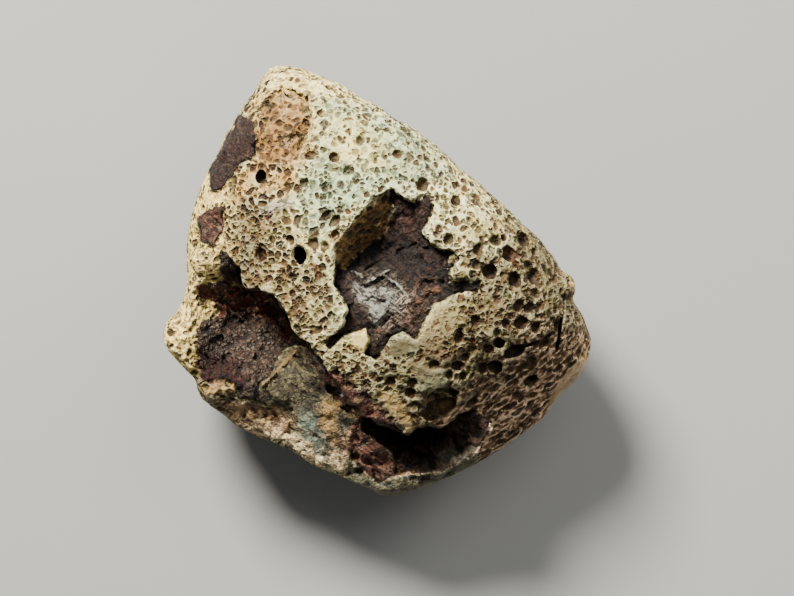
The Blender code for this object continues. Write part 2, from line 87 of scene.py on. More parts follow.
STAR_SPOTS = [
    (1.6, 7.2, 23.8), (-0.2, 6.3, 22.6), (-2.1, 3.9, 21.5), (-3.0, 2.6, 21.5), (1.2, 4.9, 22.1),
    (3.0, 5.3, 23.1), (4.9, 7.5, 23.9), (3.5, 6.3, 23.5), (2.1, 3.0, 21.9), (-0.2, 2.6, 20.9),
    (3.9, 2.6, 22.9), (5.8, 1.9, 23.7), (6.9, 2.3, 24.1), (4.9, 0.7, 23.4), (2.1, 0.7, 22.7),
    (-1.2, 1.6, 21.5), (-2.6, 1.2, 22.3), (-3.0, -0.2, 23.2), (0.2, -1.6, 23.5), (2.1, -1.6, 23.4),
    (3.0, -0.7, 23.3), (5.8, -0.7, 23.5), (8.1, -0.3, 23.7), (9.3, -0.2, 24.0), (-1.6, -1.6, 23.4),
    (-2.1, -3.3, 23.3), (-3.0, -4.4, 23.2), (-4.4, -5.7, 23.2), (0.2, -3.9, 23.2), (2.1, -3.9, 23.1),
    (3.5, -4.4, 23.0), (4.4, -2.6, 23.3), (-0.2, -5.8, 22.8), (-0.9, -6.7, 23.0),
]
SHELF_EDGE = [
    (-11.3, 18.2), (-11.6, 16.9), (-11.6, 15.1), (-11.8, 13.5), (-11.1, 13.0), (-11.2, 11.6), (-12.8, 10.7),
    (-13.9, 9.7), (-14.1, 8.6), (-13.7, 7.4), (-13.7, 6.3), (-14.2, 3.9), (-13.5, 2.3), (-12.6, 1.2),
    (-12.2, -0.7), (-10.6, -0.8), (-8.9, -1.6), (-7.5, -4.7), (-6.1, -5.8), (-4.6, -7.9), (-4.0, -8.9),
    (-2.6, -10.7), (-1.2, -12.6), (0.7, -12.8), (2.1, -13.7), (3.0, -14.2), (3.2, -13.2), (5.3, -13.1),
    (5.9, -13.4), (6.7, -12.9), (7.3, -12.0), (8.6, -12.0), (9.5, -12.4), (10.4, -13.2), (9.5, -14.8),
    (9.7, -16.0), (10.9, -19.0), (10.0, -25.0), (-25.0, -25.0), (-25.0, 21.0), (-14.0, 21.0),
]
SHELF_SPOTS = [
    (-11.8, 16.9, 22.6), (-12.8, 16.5, 21.5), (-12.3, 14.2, 21.2), (-13.9, 13.2, 20.5), (-12.8, 11.4, 21.6),
    (-15.1, 9.5, 20.3), (-14.2, 7.7, 21.6), (-16.5, 7.7, 19.4), (-15.4, 5.3, 20.0), (-16.9, 4.9, 19.0),
    (-15.7, 1.9, 20.8), (-13.5, 1.2, 19.5), (-16.9, -0.7, 18.5), (-15.1, -1.6, 17.0), (-12.3, -2.6, 14.8),
    (-9.5, -3.5, 14.6), (-7.9, -5.8, 15.5), (-14.2, -4.9, 15.8), (-11.8, -6.3, 16.2), (-15.1, -8.1, 15.6),
    (-10.0, -7.7, 16.6), (-16.0, -6.3, 16.6), (-17.9, -5.3, 18.4), (-19.1, -4.6, 17.6), (-17.4, -3.3, 18.6),
    (-17.1, -7.7, 17.2), (-16.5, -1.6, 18.0), (-15.1, -10.0, 17.6), (-12.8, -10.3, 17.2),
    (-12.8, -12.0, 14.6), (-10.0, -12.5, 14.6), (-14.4, -11.5, 15.0), (-11.4, -13.9, 14.2),
    (-9.0, -14.3, 14.4), (-9.5, -10.4, 17.0), (-7.9, -11.1, 16.6), (-7.0, -7.4, 17.2), (-5.3, -9.8, 17.8),
    (-6.3, -11.1, 16.6), (-4.4, -12.0, 17.5), (-7.2, -13.7, 15.8), (-5.3, -14.8, 15.8), (-3.5, -13.7, 16.6),
    (-3.0, -16.5, 14.8), (-5.3, -17.0, 13.8), (-1.6, -14.6, 16.2), (-0.7, -17.4, 14.5), (0.2, -19.3, 13.6),
    (2.1, -18.5, 14.4), (4.9, -18.3, 14.4), (7.7, -17.2, 14.6), (9.1, -16.0, 15.6), (2.1, -17.1, 15.2),
    (0.7, -16.0, 16.3), (-6.1, -6.5, 20.2), (-4.7, -8.5, 19.8), (-2.9, -10.2, 19.2), (-1.4, -11.6, 18.8),
]
CAVE_EDGE = [
    (-1.4, -12.3), (0.2, -13.2), (1.6, -13.9), (3.1, -14.2), (3.5, -13.5), (4.9, -13.3), (5.8, -13.6),
    (6.9, -13.0), (7.5, -12.1), (8.6, -11.8), (9.7, -12.3), (10.4, -13.5), (9.3, -14.9), (8.6, -16.0),
    (7.2, -16.8), (5.8, -17.4), (3.9, -17.6), (2.1, -17.0), (1.6, -16.0), (1.0, -15.3), (-0.2, -14.6),
    (-1.4, -13.7),
]
CAVE_SPOTS = [
    (2.1, -14.6, 10.2), (4.6, -14.9, 10.6), (7.0, -14.0, 14.6), (8.6, -13.0, 17.0), (9.6, -13.2, 17.8),
    (8.6, -15.0, 16.4), (7.2, -16.2, 15.4), (5.4, -16.4, 14.4), (3.5, -16.6, 13.2), (5.8, -17.0, 14.8),
    (0.7, -13.7, 12.0), (-0.7, -13.2, 14.4), (1.6, -15.5, 12.6), (6.9, -12.9, 16.0),
]
WALL_SPOTS = [
    (-3.9, 2.3, 24.2), (-2.6, 4.2, 24.4), (-1.3, 6.1, 24.5), (0.0, 7.6, 24.5), (1.0, 8.1, 24.1),
    (1.4, 6.5, 22.6), (1.2, 5.0, 21.9), (0.2, 3.9, 21.3), (-1.1, 3.3, 21.1), (-2.1, 2.1, 21.3),
    (-3.1, 1.3, 22.5), (-0.9, 4.6, 22.7),
]

# Pits that can be told apart in the photo: x, y, radius.
PITS = [
    (-10.4, 16.2, 0.56), (-6.0, 11.5, 0.46), (-5.2, 15.4, 0.37), (-4.4, 17.9, 0.46), (-1.5, 12.9, 0.46),
    (0.0, 15.9, 0.46), (-2.6, 10.2, 0.56), (-3.9, 11.4, 0.56), (-6.7, 9.0, 0.46), (-7.0, 7.6, 0.37),
    (-4.7, 8.5, 0.37), (-4.6, 6.1, 0.46), (-3.8, 5.5, 0.46), (-2.7, 5.2, 0.56), (-3.9, 4.3, 0.46),
    (-4.7, 3.2, 0.46), (-5.8, 3.4, 0.56), (-7.8, 3.9, 0.46), (-9.6, 3.9, 0.46), (-7.6, 0.5, 0.46),
    (-10.5, 2.5, 0.56), (-12.5, 6.0, 0.37), (4.2, 8.9, 0.65), (1.9, 11.6, 0.46), (4.6, 11.2, 0.46),
    (3.2, 13.5, 0.46), (8.0, 8.6, 0.46), (7.1, 7.4, 0.56), (9.1, 7.8, 0.46), (10.7, 7.4, 0.37),
    (6.5, 3.9, 0.56), (9.1, 2.9, 0.56), (11.9, 2.6, 0.74), (10.7, 3.8, 0.56), (13.4, 3.9, 0.74),
    (14.4, 2.8, 0.37), (12.5, 0.2, 0.74), (14.3, 0.5, 0.74), (13.8, 1.5, 0.46), (16.4, 0.3, 0.46),
    (10.2, 1.0, 0.74), (8.5, 5.6, 0.46), (7.7, 0.2, 0.37), (12.9, -2.1, 0.56), (13.8, -2.4, 0.56),
    (14.9, -2.2, 0.37), (14.6, -3.1, 0.37), (13.2, -3.7, 0.65), (14.5, -4.1, 0.56), (16.6, -4.0, 0.56),
    (10.9, -4.7, 0.37), (11.1, -5.5, 0.56), (8.7, -6.2, 0.46), (10.2, -6.0, 0.56), (8.0, -6.8, 0.46),
    (7.4, -7.6, 0.56), (10.8, -7.7, 0.74), (9.7, -7.9, 0.56), (14.2, -7.2, 0.46), (6.5, -8.5, 0.46),
    (7.8, -8.6, 0.46), (5.2, -7.5, 0.46), (9.0, -3.5, 0.56), (7.5, -5.0, 0.46), (3.3, -11.4, 0.37),
    (1.3, -9.0, 0.46), (3.2, -9.2, 0.46), (3.0, -10.1, 0.65), (4.9, -10.3, 0.46), (7.0, -10.0, 0.46),
]

# Outlines, in plan, of the differently coloured and textured parts of the face.
AREAS = {
    "patch_upper": [(-12.8, 15.5), (-11.7, 15.2), (-11.0, 13.2), (-11.1, 11.8), (-12.9, 10.8), (-14.1, 8.6),
        (-15.2, 8.4), (-15.5, 10.6), (-14.5, 12.5), (-13.5, 14.2)],
    "patch_middle": [(-16.7, 6.2), (-13.9, 7.3), (-14.0, 4.7), (-15.0, 3.4), (-16.3, 3.9)],
    "patch_lower": [(-14.7, 3.6), (-13.2, 2.3), (-12.5, -0.3), (-14.2, 0.3), (-14.4, 1.9)],
    "recess": [(-16.6, -0.3), (-14.2, -0.0), (-12.4, -0.5), (-10.2, -0.7), (-7.5, -4.7), (-6.6, -5.8),
        (-8.6, -6.3), (-9.8, -8.3), (-10.7, -9.6), (-10.9, -10.9), (-12.7, -10.9), (-13.3, -9.3),
        (-14.6, -8.9), (-16.2, -9.1), (-16.8, -7.7), (-16.7, -4.9), (-16.0, -3.5), (-14.5, -2.7),
        (-15.4, -1.6), (-16.5, -1.6)],
    "maroon": [(-16.8, -6.9), (-14.4, -7.0), (-12.2, -7.7), (-12.4, -9.4), (-14.5, -9.9), (-16.8, -9.2)],
    "lip": [(-16.6, -9.3), (-13.4, -9.1), (-13.4, -10.1), (-14.6, -10.2), (-16.0, -10.6)],
    "olive": [(-15.3, -10.8), (-12.8, -10.9), (-10.7, -11.5), (-8.1, -12.0), (-7.9, -13.2), (-9.0, -14.6),
        (-11.4, -14.2), (-14.2, -12.6)],
    "greygreen": [(-10.4, -8.0), (-8.6, -6.3), (-6.7, -5.8), (-4.4, -8.9), (-3.0, -10.4), (-1.4, -12.0),
        (-1.8, -13.7), (-3.0, -17.8), (-5.2, -17.4), (-7.5, -16.2), (-9.0, -14.6), (-7.9, -13.2),
        (-8.1, -12.0), (-11.2, -11.2), (-11.2, -9.8)],
    "bluegreen": [(-6.9, -11.6), (-6.1, -12.6), (-4.9, -14.0), (-4.3, -16.5), (-5.2, -16.8), (-6.2, -14.8),
        (-7.1, -13.2)],
    "orange": [(-5.2, -10.8), (-3.3, -11.0), (-3.9, -12.8), (-4.0, -14.8), (-5.0, -14.0), (-5.2, -12.3)],
    "bench": [(-7.5, -4.9), (-6.1, -5.8), (-4.9, -7.2), (-4.0, -7.9), (-2.3, -9.3), (-0.7, -10.4),
        (0.5, -11.6), (1.6, -13.0), (3.0, -14.2), (2.1, -13.9), (0.2, -12.9), (-1.6, -12.8), (-3.2, -11.6),
        (-4.6, -10.0), (-5.3, -8.4), (-6.6, -6.5)],
    "glitter": [(-2.4, -12.8), (-0.5, -13.7), (1.7, -16.7), (2.1, -17.9), (0.2, -18.5), (-1.4, -17.6),
        (-2.9, -15.1)],
    "crust": [(-3.0, -17.4), (-1.4, -17.4), (1.2, -18.1), (3.9, -17.8), (7.2, -16.8), (9.1, -15.5),
        (9.5, -17.2), (5.8, -18.7), (2.1, -20.2), (-0.7, -20.2), (-2.7, -18.7)],
    "mint": [(-5.2, 16.9), (-3.0, 16.2), (-0.5, 15.3), (2.1, 14.6), (4.7, 12.3), (6.0, 9.7), (4.4, 8.8),
        (2.1, 8.4), (0.2, 8.1), (-1.6, 7.2), (-3.5, 4.7), (-4.9, 3.8), (-6.9, 4.3), (-7.5, 6.7), (-6.7, 9.0),
        (-5.8, 11.4), (-5.7, 14.2)],
    "mint_lower": [(-4.4, 1.2), (-3.0, -1.6), (-3.9, -3.7), (-5.2, -4.6), (-7.0, -3.7), (-7.9, -1.3),
        (-7.2, 0.7)],
    "tan": [(-11.4, 17.4), (-7.2, 17.9), (-6.1, 16.2), (-6.0, 12.3), (-7.3, 10.6), (-7.0, 8.1), (-10.0, 7.7),
        (-13.5, 7.5), (-14.0, 9.5), (-11.2, 11.4), (-11.6, 15.1)],
    "tan_strip": [(5.1, -1.4), (6.7, -1.6), (6.9, -3.3), (6.2, -5.8), (5.6, -7.4), (4.3, -7.4), (3.9, -5.8),
        (4.7, -3.5)],
    "island_yellow": [(-2.0, -4.3), (-1.1, -4.1), (-0.4, -4.9), (-0.4, -5.9), (-1.3, -6.3), (-2.5, -5.7)],
    "island_green": [(0.6, -6.3), (1.6, -5.2), (3.1, -4.8), (4.2, -5.8), (3.4, -6.5), (1.6, -6.9)],
    "smooth_tan": [(2.8, -6.9), (4.9, -7.1), (5.2, -8.3), (3.8, -9.0), (2.7, -7.9)],
    "smooth_mint": [(4.9, -7.6), (6.5, -7.8), (6.4, -9.6), (4.3, -9.9), (3.4, -9.1)],
    "rust_pits": [(3.9, -5.2), (6.4, -5.5), (6.6, -7.7), (4.9, -7.9), (3.9, -6.5)],
    "honey_bump": [(16.7, 1.1), (18.1, 0.3), (18.7, -0.9), (18.1, -1.8), (17.0, -1.3), (16.6, 0.0)],
    "honey_band": [(20.1, -7.0), (19.2, -9.2), (17.4, -10.9), (16.2, -11.6), (16.2, -9.6), (17.5, -8.5),
        (19.0, -7.0)],
    "pink_floor": [(-11.9, 9.9), (-10.7, 9.9), (-10.6, 8.6), (-11.9, 8.6)],
    "shard": [(-10.8, 6.2), (-9.5, 7.4), (-8.3, 7.8), (-7.3, 7.1), (-8.5, 6.6), (-10.0, 5.9)],
    "deposit": [(-1.9, -0.5), (-0.6, -0.3), (0.6, -0.8), (1.4, -1.2), (1.7, -2.3), (1.1, -3.1), (0.4, -3.9),
        (-0.2, -3.3), (-0.7, -2.3), (-1.5, -1.5)],
    "star_wall": [(-4.6, 2.3), (-3.3, 4.7), (-2.0, 6.5), (-0.7, 8.2), (1.0, 8.9), (1.5, 6.6), (1.3, 5.0),
        (0.3, 3.9), (-1.1, 3.3), (-2.1, 2.0), (-3.1, 1.2)],
    "scoop": [(-8.6, 18.0), (-6.3, 17.1), (-6.0, 15.1), (-6.5, 13.2), (-7.2, 11.6), (-8.6, 10.9),
        (-10.7, 10.9), (-11.3, 12.3), (-10.7, 15.1), (-10.0, 16.9)],
    "film": [(5.6, -15.6), (7.2, -15.2), (9.0, -15.2), (9.6, -16.2), (7.9, -17.6), (5.4, -18.3),
        (4.6, -17.2)],
    "bowl": [(4.2, -10.6), (5.4, -10.3), (6.7, -10.7), (7.2, -11.5), (6.6, -12.6), (5.4, -13.1),
        (4.4, -12.5), (3.9, -11.6)],
    "spur": [(0.1, -9.9), (1.7, -10.1), (2.5, -11.2), (3.5, -13.4), (3.0, -13.9), (1.5, -12.3),
        (0.5, -11.2)],
    "slope": [(3.6, -15.9), (6.4, -15.2), (8.4, -13.6), (10.0, -12.8), (10.2, -14.0), (9.3, -15.6),
        (7.4, -17.0), (4.2, -17.6)],
    "lobe": [(-8.6, 2.6), (-4.8, 1.4), (-3.8, -1.2), (-4.2, -3.4), (-5.0, -5.2), (-7.2, -4.6), (-9.6, -1.2)],
    "light_patch": [(-4.8, 15.5), (-1.2, 14.8), (0.4, 10.8), (-3.6, 10.5), (-5.2, 12.5)],
    "frost": [(-2.4, 1.2), (0.0, 1.6), (1.8, 1.3), (3.2, -1.3), (2.3, -3.2), (0.6, -4.4), (-2.1, -1.6)],
    "pocket": [(-2.9, 1.6), (-1.2, 3.4), (0.4, 3.9), (1.6, 5.2), (2.4, 4.0), (3.4, 2.3), (2.0, 1.4),
        (0.0, 0.9), (-1.8, 0.5)],
    "gloom": [(-16.6, -0.4), (-12.4, -0.4), (-10.2, -0.6), (-7.4, -4.6), (-8.4, -5.4), (-10.6, -3.2),
        (-13.4, -2.6), (-15.6, -1.8)],
    "rusty": [(0.3, -6.3), (0.8, -5.0), (2.0, -4.2), (3.3, -4.6), (2.6, -5.3), (1.3, -5.9)],
    "pink": [(-15.8, -1.4), (-14.0, -1.2), (-13.2, -2.2), (-14.2, -3.4), (-15.6, -2.8)],
    "red_rims": [(-2.9, -3.6), (-1.5, -3.2), (-0.5, -3.8), (-1.0, -4.2), (-2.2, -3.9)],
    "star_low": [(0.8, -1.2), (3.0, 0.2), (6.4, 0.0), (5.6, -1.8), (4.8, -2.2), (4.2, -4.0), (3.4, -4.9),
        (2.2, -4.0), (1.2, -4.6), (-0.4, -6.2), (-1.2, -4.6), (0.6, -3.6)],
    "pale": [(6.5, -0.7), (9.7, -1.0), (9.8, -2.4), (8.6, -4.0), (6.7, -4.6), (5.9, -3.1)],
}

# Thin white blades of the crust in the star: from, to, half width.
BLADES = [
    ((-1.25, -0.15), (1.15, 1.15), 0.15), ((0.6, 0.6), (1.8, -0.2), 0.15), ((1.6, 0.1), (2.8, -1.3), 0.17),
    ((-2.2, 1.0), (-1.3, 0.4), 0.13), ((1.3, -0.9), (2.1, -1.4), 0.11), ((4.5, -2.6), (5.1, -2.2), 0.22),
    ((0.6, -2.6), (1.7, -3.4), 0.10),
]

# Thin ridges of cream-brown stone on the shelf, and pale edges of the bench: from, to, half width.
RIDGES = [((-10.7, -9.5), (-9.0, -7.9), 0.15), ((-9.0, -7.9), (-7.6, -6.3), 0.13)]
EDGES = [
    ((-6.2, -6.5), (-4.7, -8.4), 0.20), ((-3.8, -10.1), (-2.9, -10.2), 0.32),
    ((1.4, -11.9), (3.0, -13.9), 0.14),
]

# The square black hole is five narrow ones side by side.
SQUARE_HOLE = (-6.9, 2.4)
SQUARE_HOLE_CORNERS = [(-0.25, 0.45), (0.25, 0.45), (-0.25, -0.05), (0.25, -0.05), (0.0, -0.45)]

# Other single holes: x, y, the angle of the long axis to X, half sizes, and how deep the middle lies. They
# are the hole with the glassy floor, two long holes at the right, the slot below them, and, as two ellipsoids,
# the bowl above the cave.
HOLES = [
    (-10.6, 9.6, 75, (0.66, 0.50, 1.2), 0.2), (12.5, -6.3, 18, (1.15, 0.62, 1.1), 0.2),
    (11.2, -5.6, 60, (0.55, 0.45, 0.8), 0.1), (14.1, -9.0, 38, (0.75, 0.36, 1.2), 0.2),
    (5.5, -11.7, 20, (1.45, 1.05, 1.2), 0.1), (6.4, -11.2, 20, (0.9, 0.7, 0.9), 0.1),
]

# Cracks: from x, y, to x, y, half width, depth.
CRACKS = [
    (16.9, -3.2, 16.7, -5.0, 0.15, 0.9), (16.7, -4.8, 16.4, -6.9, 0.15, 0.9),
    (13.4, -5.9, 15.2, -5.3, 0.16, 0.6), (15.0, -5.4, 16.6, -4.2, 0.14, 0.6),
    (-3.1, 1.8, -1.1, 0.1, 0.20, 0.6), (-1.5, 0.9, 0.9, 2.4, 0.18, 0.6),
    (0.4, -4.0, 1.6, -2.6, 0.14, 0.5), (11.3, 4.2, 11.7, 3.6, 0.11, 0.3),
    (-11.0, 3.6, -10.3, 2.8, 0.11, 0.25), (-12.2, 4.5, -11.9, 2.4, 0.10, 0.25),
    (-8.9, 17.9, -8.2, 16.9, 0.13, 0.4),
]

# Rounds of pits placed at random: kind, smallest and largest radius, how many tries, how near each other they
# may come as a share of their radii, and how readily they form.
PIT_ROUNDS = [
    ("large", 0.44, 0.60, 200, 1.05, 0.5), ("middle", 0.30, 0.44, 2600, 0.95, 0.7),
    ("small", 0.21, 0.30, 16000, 0.88, 0.8), ("small", 0.15, 0.21, 40000, 0.88, 0.8),
]
PIT_CELL = 1.5  # neighbours are looked up in cells of this size, wider than any two pits that can touch

# Numbers that the material reads, each the largest of some areas: share, area, and the blur, roughness and
# seed of its border.
PAINTED = {
    "mint": [(1.0, "mint", 0.9, 0.8, 8), (0.2, "mint_lower", 0.7, 0.5, 9), (1.0, "smooth_mint", 0.3),
             (1.0, "island_green", 0.2)],
    "tan": [(1.0, "tan", 0.8, 0.6, 10), (1.0, "tan_strip", 0.4, 0.4, 11), (1.0, "smooth_tan", 0.3),
            (0.6, "island_yellow", 0.2)],
    "rust": [(0.8, "rust_pits", 0.4, 0.4, 16), (0.8, "bench", 0.3, 0.3, 17), (1.0, "maroon", 0.4, 0.4, 18),
             (1.0, "red_rims", 0.15, 0.2, 22), (0.7, "rusty", 0.2, 0.3, 34)],
    "red": [(1.0, "maroon", 0.5, 0.4, 18), (1.0, "gloom", 0.5, 0.5, 33), (0.8, "pink", 0.4, 0.3, 32),
            (0.5, "patch_upper", 0.2), (0.3, "patch_middle", 0.2), (0.6, "bench", 0.3),
            (0.35, "glitter", 0.4)],
    "ochre": [(1.0, "orange", 0.5, 0.5, 23), (1.0, "lip", 0.3, 0.3, 27)],
    "bright": [(0.75, "island_yellow", 0.3), (0.5, "light_patch", 1.5, 0.8, 36)],
    "speck": [(1.0, "recess", 1.2), (0.5, "glitter", 0.8)],
    "teal": [(1.0, "crust", 0.5, 0.5, 13)],
    "white": [(1.0, "deposit", 0.35, 0.7, 19)],
    "blue": [(1.0, "bluegreen", 0.5, 0.5, 24)],
    "frost": [(1.0, "frost", 0.8, 0.5, 35)],
    "bits": [(1.0, "bench", 0.4, 0.4, 29)],
    "shard": [(1.0, "shard", 0.12, 0.15, 20)],
    "film": [(1.0, "film", 0.6, 0.5, 25)],
    "scoop": [(1.0, "scoop", 0.6, 0.5, 26)],
}

# Areas that are made lighter, or darker where the share is negative: share, area, blur, roughness, seed.
# Most are the stone's own tones. The pocket in the star and the bowl above the cave are darkened as
# painted shade, and the gloom under the ledge is lightened as painted light where the ledge's shadow falls.
LIFTED = [
    (0.5, "patch_middle", 0.3), (1.3, "star_low", 0.6), (1.1, "gloom", 0.5, 0.4, 30),
    (-1.0, "island_green", 0.2), (-1.0, "pocket", 0.5, 0.6, 31), (-1.1, "maroon", 0.4, 0.4, 18),
    (0.5, "bench", 0.3), (0.7, "glitter", 0.4), (-0.7, "patch_upper", 0.3), (1.0, "olive", 0.5),
    (0.5, "pink", 0.4, 0.3, 32), (-0.8, "bowl", 0.4, 0.3, 28),
]


# ---------------------------------------------------------------- fields
def lattice(ix, iy, iz, seed):
    """A random number, -1 to 1, for each whole-numbered place."""
    value = (ix * 374761393 + iy * 668265263 + iz * 1274126177 + seed * 974634777) & 0xFFFFFFFF
    value = ((value ^ (value >> 13)) * 1103515245) & 0xFFFFFFFF
    value = value ^ (value >> 16)
    return (value & 0xFFFFFF) / float(0xFFFFFF) * 2.0 - 1.0


def corners(part):
    """The eight corners of a cell, and how much each counts at places a part of the way through it."""
    for dx in (0, 1):
        wx = part[:, 0] if dx else 1.0 - part[:, 0]
        for dy in (0, 1):
            wy = part[:, 1] if dy else 1.0 - part[:, 1]
            for dz in (0, 1):
                wz = part[:, 2] if dz else 1.0 - part[:, 2]
                yield np.array([dx, dy, dz]), wx * wy * wz


def noise(points, size, seed):
    """Smooth random values, -1 to 1, that vary over about one size, at an array of points."""
    place = points / size
    cell = np.floor(place).astype(np.int64)
    part = place - cell
    part = part * part * (3.0 - 2.0 * part)
    total = np.zeros(len(points))
    for step, weight in corners(part):
        total += weight * lattice(*(cell + step).T, seed)
    return total


def fractal(points, size, seed, octaves=3, gain=0.5):
    """Noise with finer and weaker noise added to it."""
    total = np.zeros(len(points))
    weight = 1.0
    for step in range(octaves):
        total += weight * noise(points, size / 2.0 ** step, seed + step * 7)
        weight *= gain
    return total


def level(x, y, height=0.0):
    """Points at one height over places in plan."""
    return np.stack([x, y, np.full(len(x), height)], axis=1)


def crags(x, y, size, seed, tilt, step):
    """Heights of a broken surface: each cell is a flat chip with its own height and lean."""
    cx = np.floor(x / size).astype(np.int64)
    cy = np.floor(y / size).astype(np.int64)
    best = np.full(len(x), FAR)
    height = np.zeros(len(x))
    for dx, dy in product((-1, 0, 1), repeat=2):
        ix = cx + dx
        iy = cy + dy
        px = (ix + 0.5 + 0.45 * lattice(ix, iy, 1, seed)) * size
        py = (iy + 0.5 + 0.45 * lattice(ix, iy, 2, seed)) * size
        gap = (x - px) ** 2 + (y - py) ** 2
        lean_x = lattice(ix, iy, 3, seed) * tilt
        lean_y = lattice(ix, iy, 4, seed) * tilt
        here = lattice(ix, iy, 5, seed) * step + lean_x * (x - px) + lean_y * (y - py)
        nearer = gap < best
        best = np.where(nearer, gap, best)
        height = np.where(nearer, here, height)
    return height


def from_line(x, y, start, end):
    """For the nearest place on a straight line: how far along it lies, 0 to 1, and the steps away from it."""
    ex = end[0] - start[0]
    ey = end[1] - start[1]
    along = np.clip(((x - start[0]) * ex + (y - start[1]) * ey) / (ex * ex + ey * ey), 0.0, 1.0)
    return along, x - start[0] - along * ex, y - start[1] - along * ey


def edge_distance(x, y, outline):
    """Distance in plan to a closed outline, negative inside it."""
    nearest = np.full(len(x), FAR)
    inside = np.zeros(len(x), dtype=bool)
    for start, end in zip(outline, outline[1:] + outline[:1]):
        _, dx, dy = from_line(x, y, start, end)
        nearest = np.minimum(nearest, dx ** 2 + dy ** 2)
        if start[1] != end[1]:
            crosses = (start[1] > y) != (end[1] > y)
            inside ^= crosses & (x < (end[0] - start[0]) * (y - start[1]) / (end[1] - start[1]) + start[0])
    return np.sqrt(nearest) * np.where(inside, -1.0, 1.0)


def stroke_gap(x, y, start, end, half):
    """Distance in plan to a straight stroke that narrows to its ends, negative inside it."""
    along, dx, dy = from_line(x, y, start, end)
    return np.hypot(dx, dy) - half * (0.3 + 0.7 * np.sin(math.pi * along))


def spot_surface(spots, x, y):
    """Heights, at places in plan, of a smooth surface through spot heights."""
    table = np.array(spots)
    plan = table[:, :2]
    count = len(table)

    def kernel(a, b):
        gap = np.hypot(a[:, 0:1] - b[:, 0], a[:, 1:2] - b[:, 1])
        return gap ** 2 * np.log(np.maximum(gap, 1e-9))

    system = np.zeros((count + 3, count + 3))
    system[:count, :count] = kernel(plan, plan) + 0.4 * np.eye(count)
    system[:count, count] = 1.0
    system[:count, count + 1:] = plan
    system[count, :count] = 1.0
    system[count + 1:, :count] = plan.T
    weights = np.linalg.solve(system, np.append(table[:, 2], (0.0, 0.0, 0.0)))
    low = table[:, 2].min() - 1.0
    high = table[:, 2].max() + 0.6
    points = np.stack([x, y], axis=1)
    plane = weights[count] + points @ weights[count + 1:]
    return np.clip(kernel(points, plan) @ weights[:count] + plane, low, high) * RISE


def ramp(value, start, end):
    """0 at the start, 1 at the end, eased between them."""
    share = np.clip((value - start) / (end - start), 0.0, 1.0)
    return share * share * (3.0 - 2.0 * share)


def area(x, y, name, blur=0.25, rough=0.0, seed=0):
    """1 inside a named area and 0 outside, with a soft or ragged border."""
    gap = edge_distance(x, y, AREAS[name])
    if rough:
        gap = gap + rough * fractal(level(x, y, 3.0), 1.1, 900 + seed)
    return ramp(-gap, -blur, blur)


def most(*shares):
    return np.maximum.reduce(shares)


def strokes(x, y, lines, start, end):
    """1 on the strokes of a list and 0 beside them."""
    return most(*[ramp(-stroke_gap(x, y, *line), start, end) for line in lines])


def rocky(x, y, seed, coarse, grain):
    """Relief of broken rock: chips of several sizes whose borders wander."""
    flat = level(x, y, 1.7 * seed)
    wx = x + 0.34 * fractal(flat, 1.1, seed + 1)
    wy = y + 0.34 * fractal(flat, 1.1, seed + 2)
    height = coarse * (crags(wx, wy, 1.6, seed + 3, 0.34, 0.30) + crags(wx, wy, 0.75, seed + 4, 0.34, 0.14))
    return height + grain * (0.10 * fractal(flat, 0.45, seed + 5) + 0.10 * fractal(flat, 1.3, seed + 6))


def down_flank(x, y, start=(0.0, 0.0)):
    """How far a place in plan lies from a start, towards the flank at the lower right."""
    return (x - start[0]) * FLANK_WAY[0] + (y - start[1]) * FLANK_WAY[1]


def honey_height(points):
    """Share that keeps the honey-coloured patches of the flank short, with a wandering border."""
    away = np.abs(points[:, 2] - HONEY_MIDDLE)
    return ramp(HONEY_REACH - away + 1.6 * fractal(points, 1.8, 71), 0.0, 0.8)


def regions(points, normals):
    """Shares, at an array of points, of the kinds of surface; what is left over is pitted rind."""
    x, y, z = points.T
    here = partial(area, x, y)
    in_star = -edge_distance(x, y, STAR_EDGE)
    top = ramp(normals[:, 2], -0.1, 0.25)
    wall = here("star_wall", 0.25, 0.3, 21) * ramp(in_star, -0.1, 0.3)
    star = ramp(in_star, -0.05, 0.12) * ramp(-z, -23.75, -23.35) * (1.0 - wall)
    cave = ramp(-edge_distance(x, y, CAVE_EDGE), -0.6, 0.2) * ramp(-z, -19.0, -17.0)
    step = 1.4 * ramp(y, -9.0, -7.0)
    bench = here("bench", 0.2, 0.5, 5) * ramp(-z, -23.2 + step, -22.6 + step)
    matrix = most(
        here("recess", 0.2, 0.35, 1), here("patch_upper", 0.12, 0.3, 2), here("patch_middle", 0.12, 0.3, 3),
        here("patch_lower", 0.15, 0.25, 4), bench, here("glitter", 0.2, 0.3, 6), star, cave) * top
    honey = honey_height(points)
    smooth = most(
        *[here(name) for name in ("island_yellow", "island_green", "smooth_tan", "smooth_mint", "shard",
                                  "pink_floor", "spur")],
        here("honey_bump") * honey, here("honey_band") * honey, 0.8 * here("tan_strip"), 0.8 * here("lip"),
        0.8 * here("slope") * ramp(-z, -20.5, -19.5)) * ramp(normals[:, 2], -0.5, -0.2)
    mottle = most(here("greygreen", 0.5), here("olive", 0.4), here("crust", 0.4)) * top
    mottle = mottle * (1.0 - matrix)
    return {"matrix": matrix, "smooth": smooth, "wall": wall * top, "top": top, "mottle": mottle}


# ---------------------------------------------------------------- the volume
def blur(values, rounds):
    """A grid of values, each evened out with its neighbours."""
    for _ in range(rounds):
        for axis in range(3):
            values = np.moveaxis(values, axis, 0)
            inner = 0.5 * values[1:-1] + 0.25 * (values[:-2] + values[2:])
            values = np.concatenate([values[:1], inner, values[-1:]])
            values = np.moveaxis(values, 0, axis)
    return np.ascontiguousarray(values)


